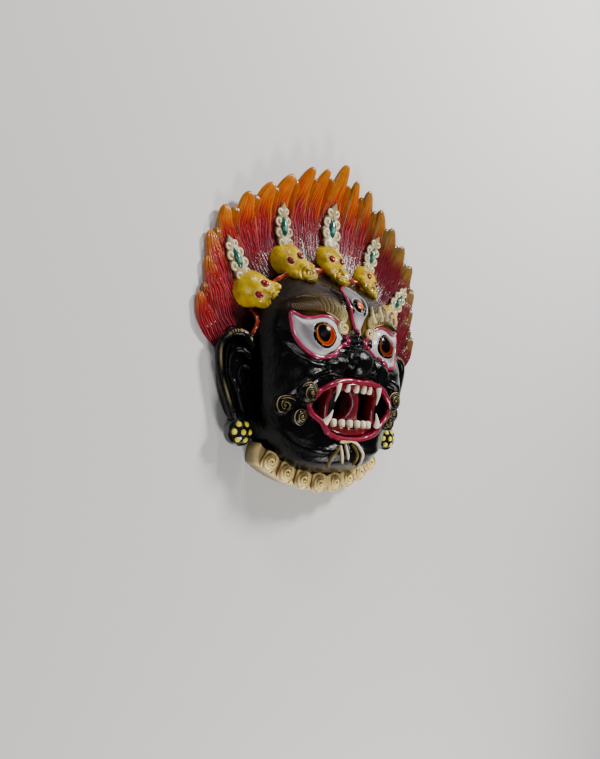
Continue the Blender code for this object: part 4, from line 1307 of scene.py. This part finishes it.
def make_collar():
    """The collar's bank with petals along it, a curl carved into each, painted in shade on their sides and
    in their recesses.
    """
    collar = Piece()
    turns = np.radians(np.linspace(-COLLAR_SPREAD, COLLAR_SPREAD, 220))[:, None]
    section = np.array(COLLAR_SECTION)
    away = section[None, :, 0]
    height = section[None, :, 1] * collar_depth(np.degrees(np.abs(turns)))
    end = rounded(220, 0.02, 0.02)[:, None]
    taper = 1 - 0.62 * ramp(0.88, 1.0, np.abs(turns) / np.radians(COLLAR_SPREAD))
    away = 87.2 + (away - 87.2) * end * taper
    x = COLLAR_CENTRE[0] + away * np.sin(turns)
    y = COLLAR_CENTRE[1] - away * np.cos(turns)
    low = section[None, :, 1] + 0 * x
    # Painted shade: the bank's low sides are dark olive, its top ivory.
    colours = mix(OLIVE * 0.5, COLLAR_IVORY * 0.85, ramp(0.3, 0.95, low))
    collar.add(sheet(x, y, height, colours))
    for number in range(PETALS):
        turn = np.radians(PETAL_TURN * (number + 0.5))
        out = np.array([np.sin(turn), -np.cos(turn)])
        beside = np.array([out[1], -out[0]])
        depth = collar_depth(np.degrees(turn))
        places = np.array(COLLAR_CENTRE) + out * np.array([[86.5], [92], [97.5], [101]])
        petal = smooth_curve(np.column_stack([places, depth + np.array([0, 1.2, 0.9, -1.2])]), 44)
        wide = COLLAR_RADIUS * np.radians(PETAL_TURN) / 2 - 0.35

        def crescent(share, turn):
            ring = np.hypot(wide * np.cos(turn), 15 * (share - 0.48))
            return bell(ring, 5.5, 1.1) * ramp(-0.7, 0.6, np.cos(turn)) * (np.sin(turn) > 0)

        def ivory(share, turn):
            # Painted shade: the petal's sides, its carved crescent, its underside and its root are dark
            # brown.
            edge = np.abs(np.cos(turn)) ** 6 + 0.8 * crescent(share, turn)
            low = ramp(-0.1, -0.6, np.sin(turn))
            return mix(COLLAR_IVORY, COLLAR_PAINTED_SHADE * 0.8, edge + 0.6 * low + 0.35 * ramp(0.25, 0.0, share))

        def fluted(share, turn):
            rays = np.cos(7 * np.arccos(np.clip(np.cos(turn), -1, 1)))
            flutes = 0.5 * (0.5 + 0.5 * rays) * (np.sin(turn) > 0) * ramp(0.3, 0.75, share)
            return -flutes - 0.9 * crescent(share, turn)

        half = wide * rounded(44, 0.12, 0.5)
        collar.add_pair(sweep(petal, half, 2.3, sides=40, power=0.7, relief=fluted, colour=ivory))
        middle = np.array(COLLAR_CENTRE) + out * 93.6
        curve = scroll_curve(middle, 4.3, np.arctan2(-out[1], -out[0]) + 0.5, 1.6, 1, 60)
        path = np.column_stack([curve, depth + 3.3 + np.linspace(0, 0.9, 60)])

        def swirl(share, turn):
            # Painted shade and highlight: the curl is dark down its sides and brighter than the ivory on
            # top.
            return mix(COLLAR_PAINTED_SHADE * 0.8, COLLAR_IVORY * 1.08, ramp(-0.1, 0.7, np.sin(turn)) + 0 * share)

        collar.add_pair(sweep(path, 0.9 * rounded(60, 0.05, 0.05), 1.7, sides=12, colour=swirl))
        groove = middle + beside * (wide - 0.1)
        rib = groove + out * np.array([[-6], [0], [6.5]])
        rib = np.column_stack([rib, depth + np.array([1.6, 1.9, 0.4])])
        collar.add_pair(sweep(smooth_curve(rib, 14), 0.6, 0.9, sides=8, colour=COLLAR_IVORY * 0.9))
    return collar.to_object("collar", BRIGHT)


FLOOR_COLOUR = (0.72, 0.71, 0.7, 1)
SKY_COLOUR = (0.9, 0.93, 1, 1)
SKY_STRENGTH = 0.13
# Each light is its name, its place and target in metres, its width, its power and its colour
LIGHTS = (
    ("key", (0.6, 0.75, 0.8), (0, 0, 0.03), 0.22, 20, (1, 0.98, 0.94)),
    ("fill", (-0.75, -0.1, 0.8), (0, 0, 0.03), 0.4, 1.4, (1, 1, 1)),
    ("low fill", (0.15, -0.85, 0.6), (0, -0.08, 0.02), 0.3, 7.5, (1, 0.97, 0.92)),
    ("glint", (-0.15, 0.9, 0.5), (0, 0, 0.03), 0.12, 3, (1, 1, 1)),
)
# The camera that was fitted to features on both sides of the face in the photograph
CAMERA_PLACE = (-0.277768, -0.070018, 0.351284)
CAMERA_FORWARD = (0.59830, 0.05325, -0.79950)
CAMERA_UP = (-0.09807, 0.99515, -0.00711)
CAMERA_LENS = 25.155


def make_stage():
    material = bpy.data.materials.new("pale floor")
    material.use_nodes = True
    shader = material.node_tree.nodes["Principled BSDF"]
    set_inputs(shader, {"Base Color": FLOOR_COLOUR, "Roughness": 0.75})
    bpy.ops.mesh.primitive_plane_add(size=30)
    floor = bpy.context.object
    floor.name = "floor"
    floor.data.materials.append(material)


def make_light(name, place, target, size, power, colour):
    data = bpy.data.lights.new(name, "AREA")
    data.shape = "DISK"
    data.size = size
    data.energy = power
    data.color = colour
    light = bpy.data.objects.new(name, data)
    light.rotation_mode = "QUATERNION"
    light.rotation_quaternion = (Vector(target) - Vector(place)).to_track_quat("-Z", "Y")
    light.location = place
    bpy.context.scene.collection.objects.link(light)


def make_camera():
    forward = np.array(CAMERA_FORWARD)
    up = np.array(CAMERA_UP)
    right = np.cross(forward, up)
    data = bpy.data.cameras.new("camera")
    data.sensor_width = 36
    data.lens = CAMERA_LENS
    camera = bpy.data.objects.new("camera", data)
    columns = np.column_stack([right, up, -forward])
    turned = Matrix([list(row) for row in columns]).to_4x4()
    turned.translation = CAMERA_PLACE
    camera.matrix_world = turned
    bpy.context.scene.collection.objects.link(camera)
    bpy.context.scene.camera = camera


def make_world():
    world = bpy.data.worlds.new("studio")
    world.use_nodes = True
    set_inputs(world.node_tree.nodes["Background"], {"Color": SKY_COLOUR, "Strength": SKY_STRENGTH})
    bpy.context.scene.world = world


make_camera()
make_world()
make_stage()
for light in LIGHTS:
    make_light(*light)

casting = make_face()
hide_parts("mask")
make_back()
make_crest("crest_left", -1)
make_crest("crest_right", 1)
make_under_locks("under_locks_left", -1)
make_under_locks("under_locks_right", 1)
make_skulls()
make_jewels()
make_ribbon()
make_eyes()
make_lids()
make_brows()
make_mouth()
make_teeth()
make_curls()
make_beard()
make_ears()
make_earrings()
make_collar()
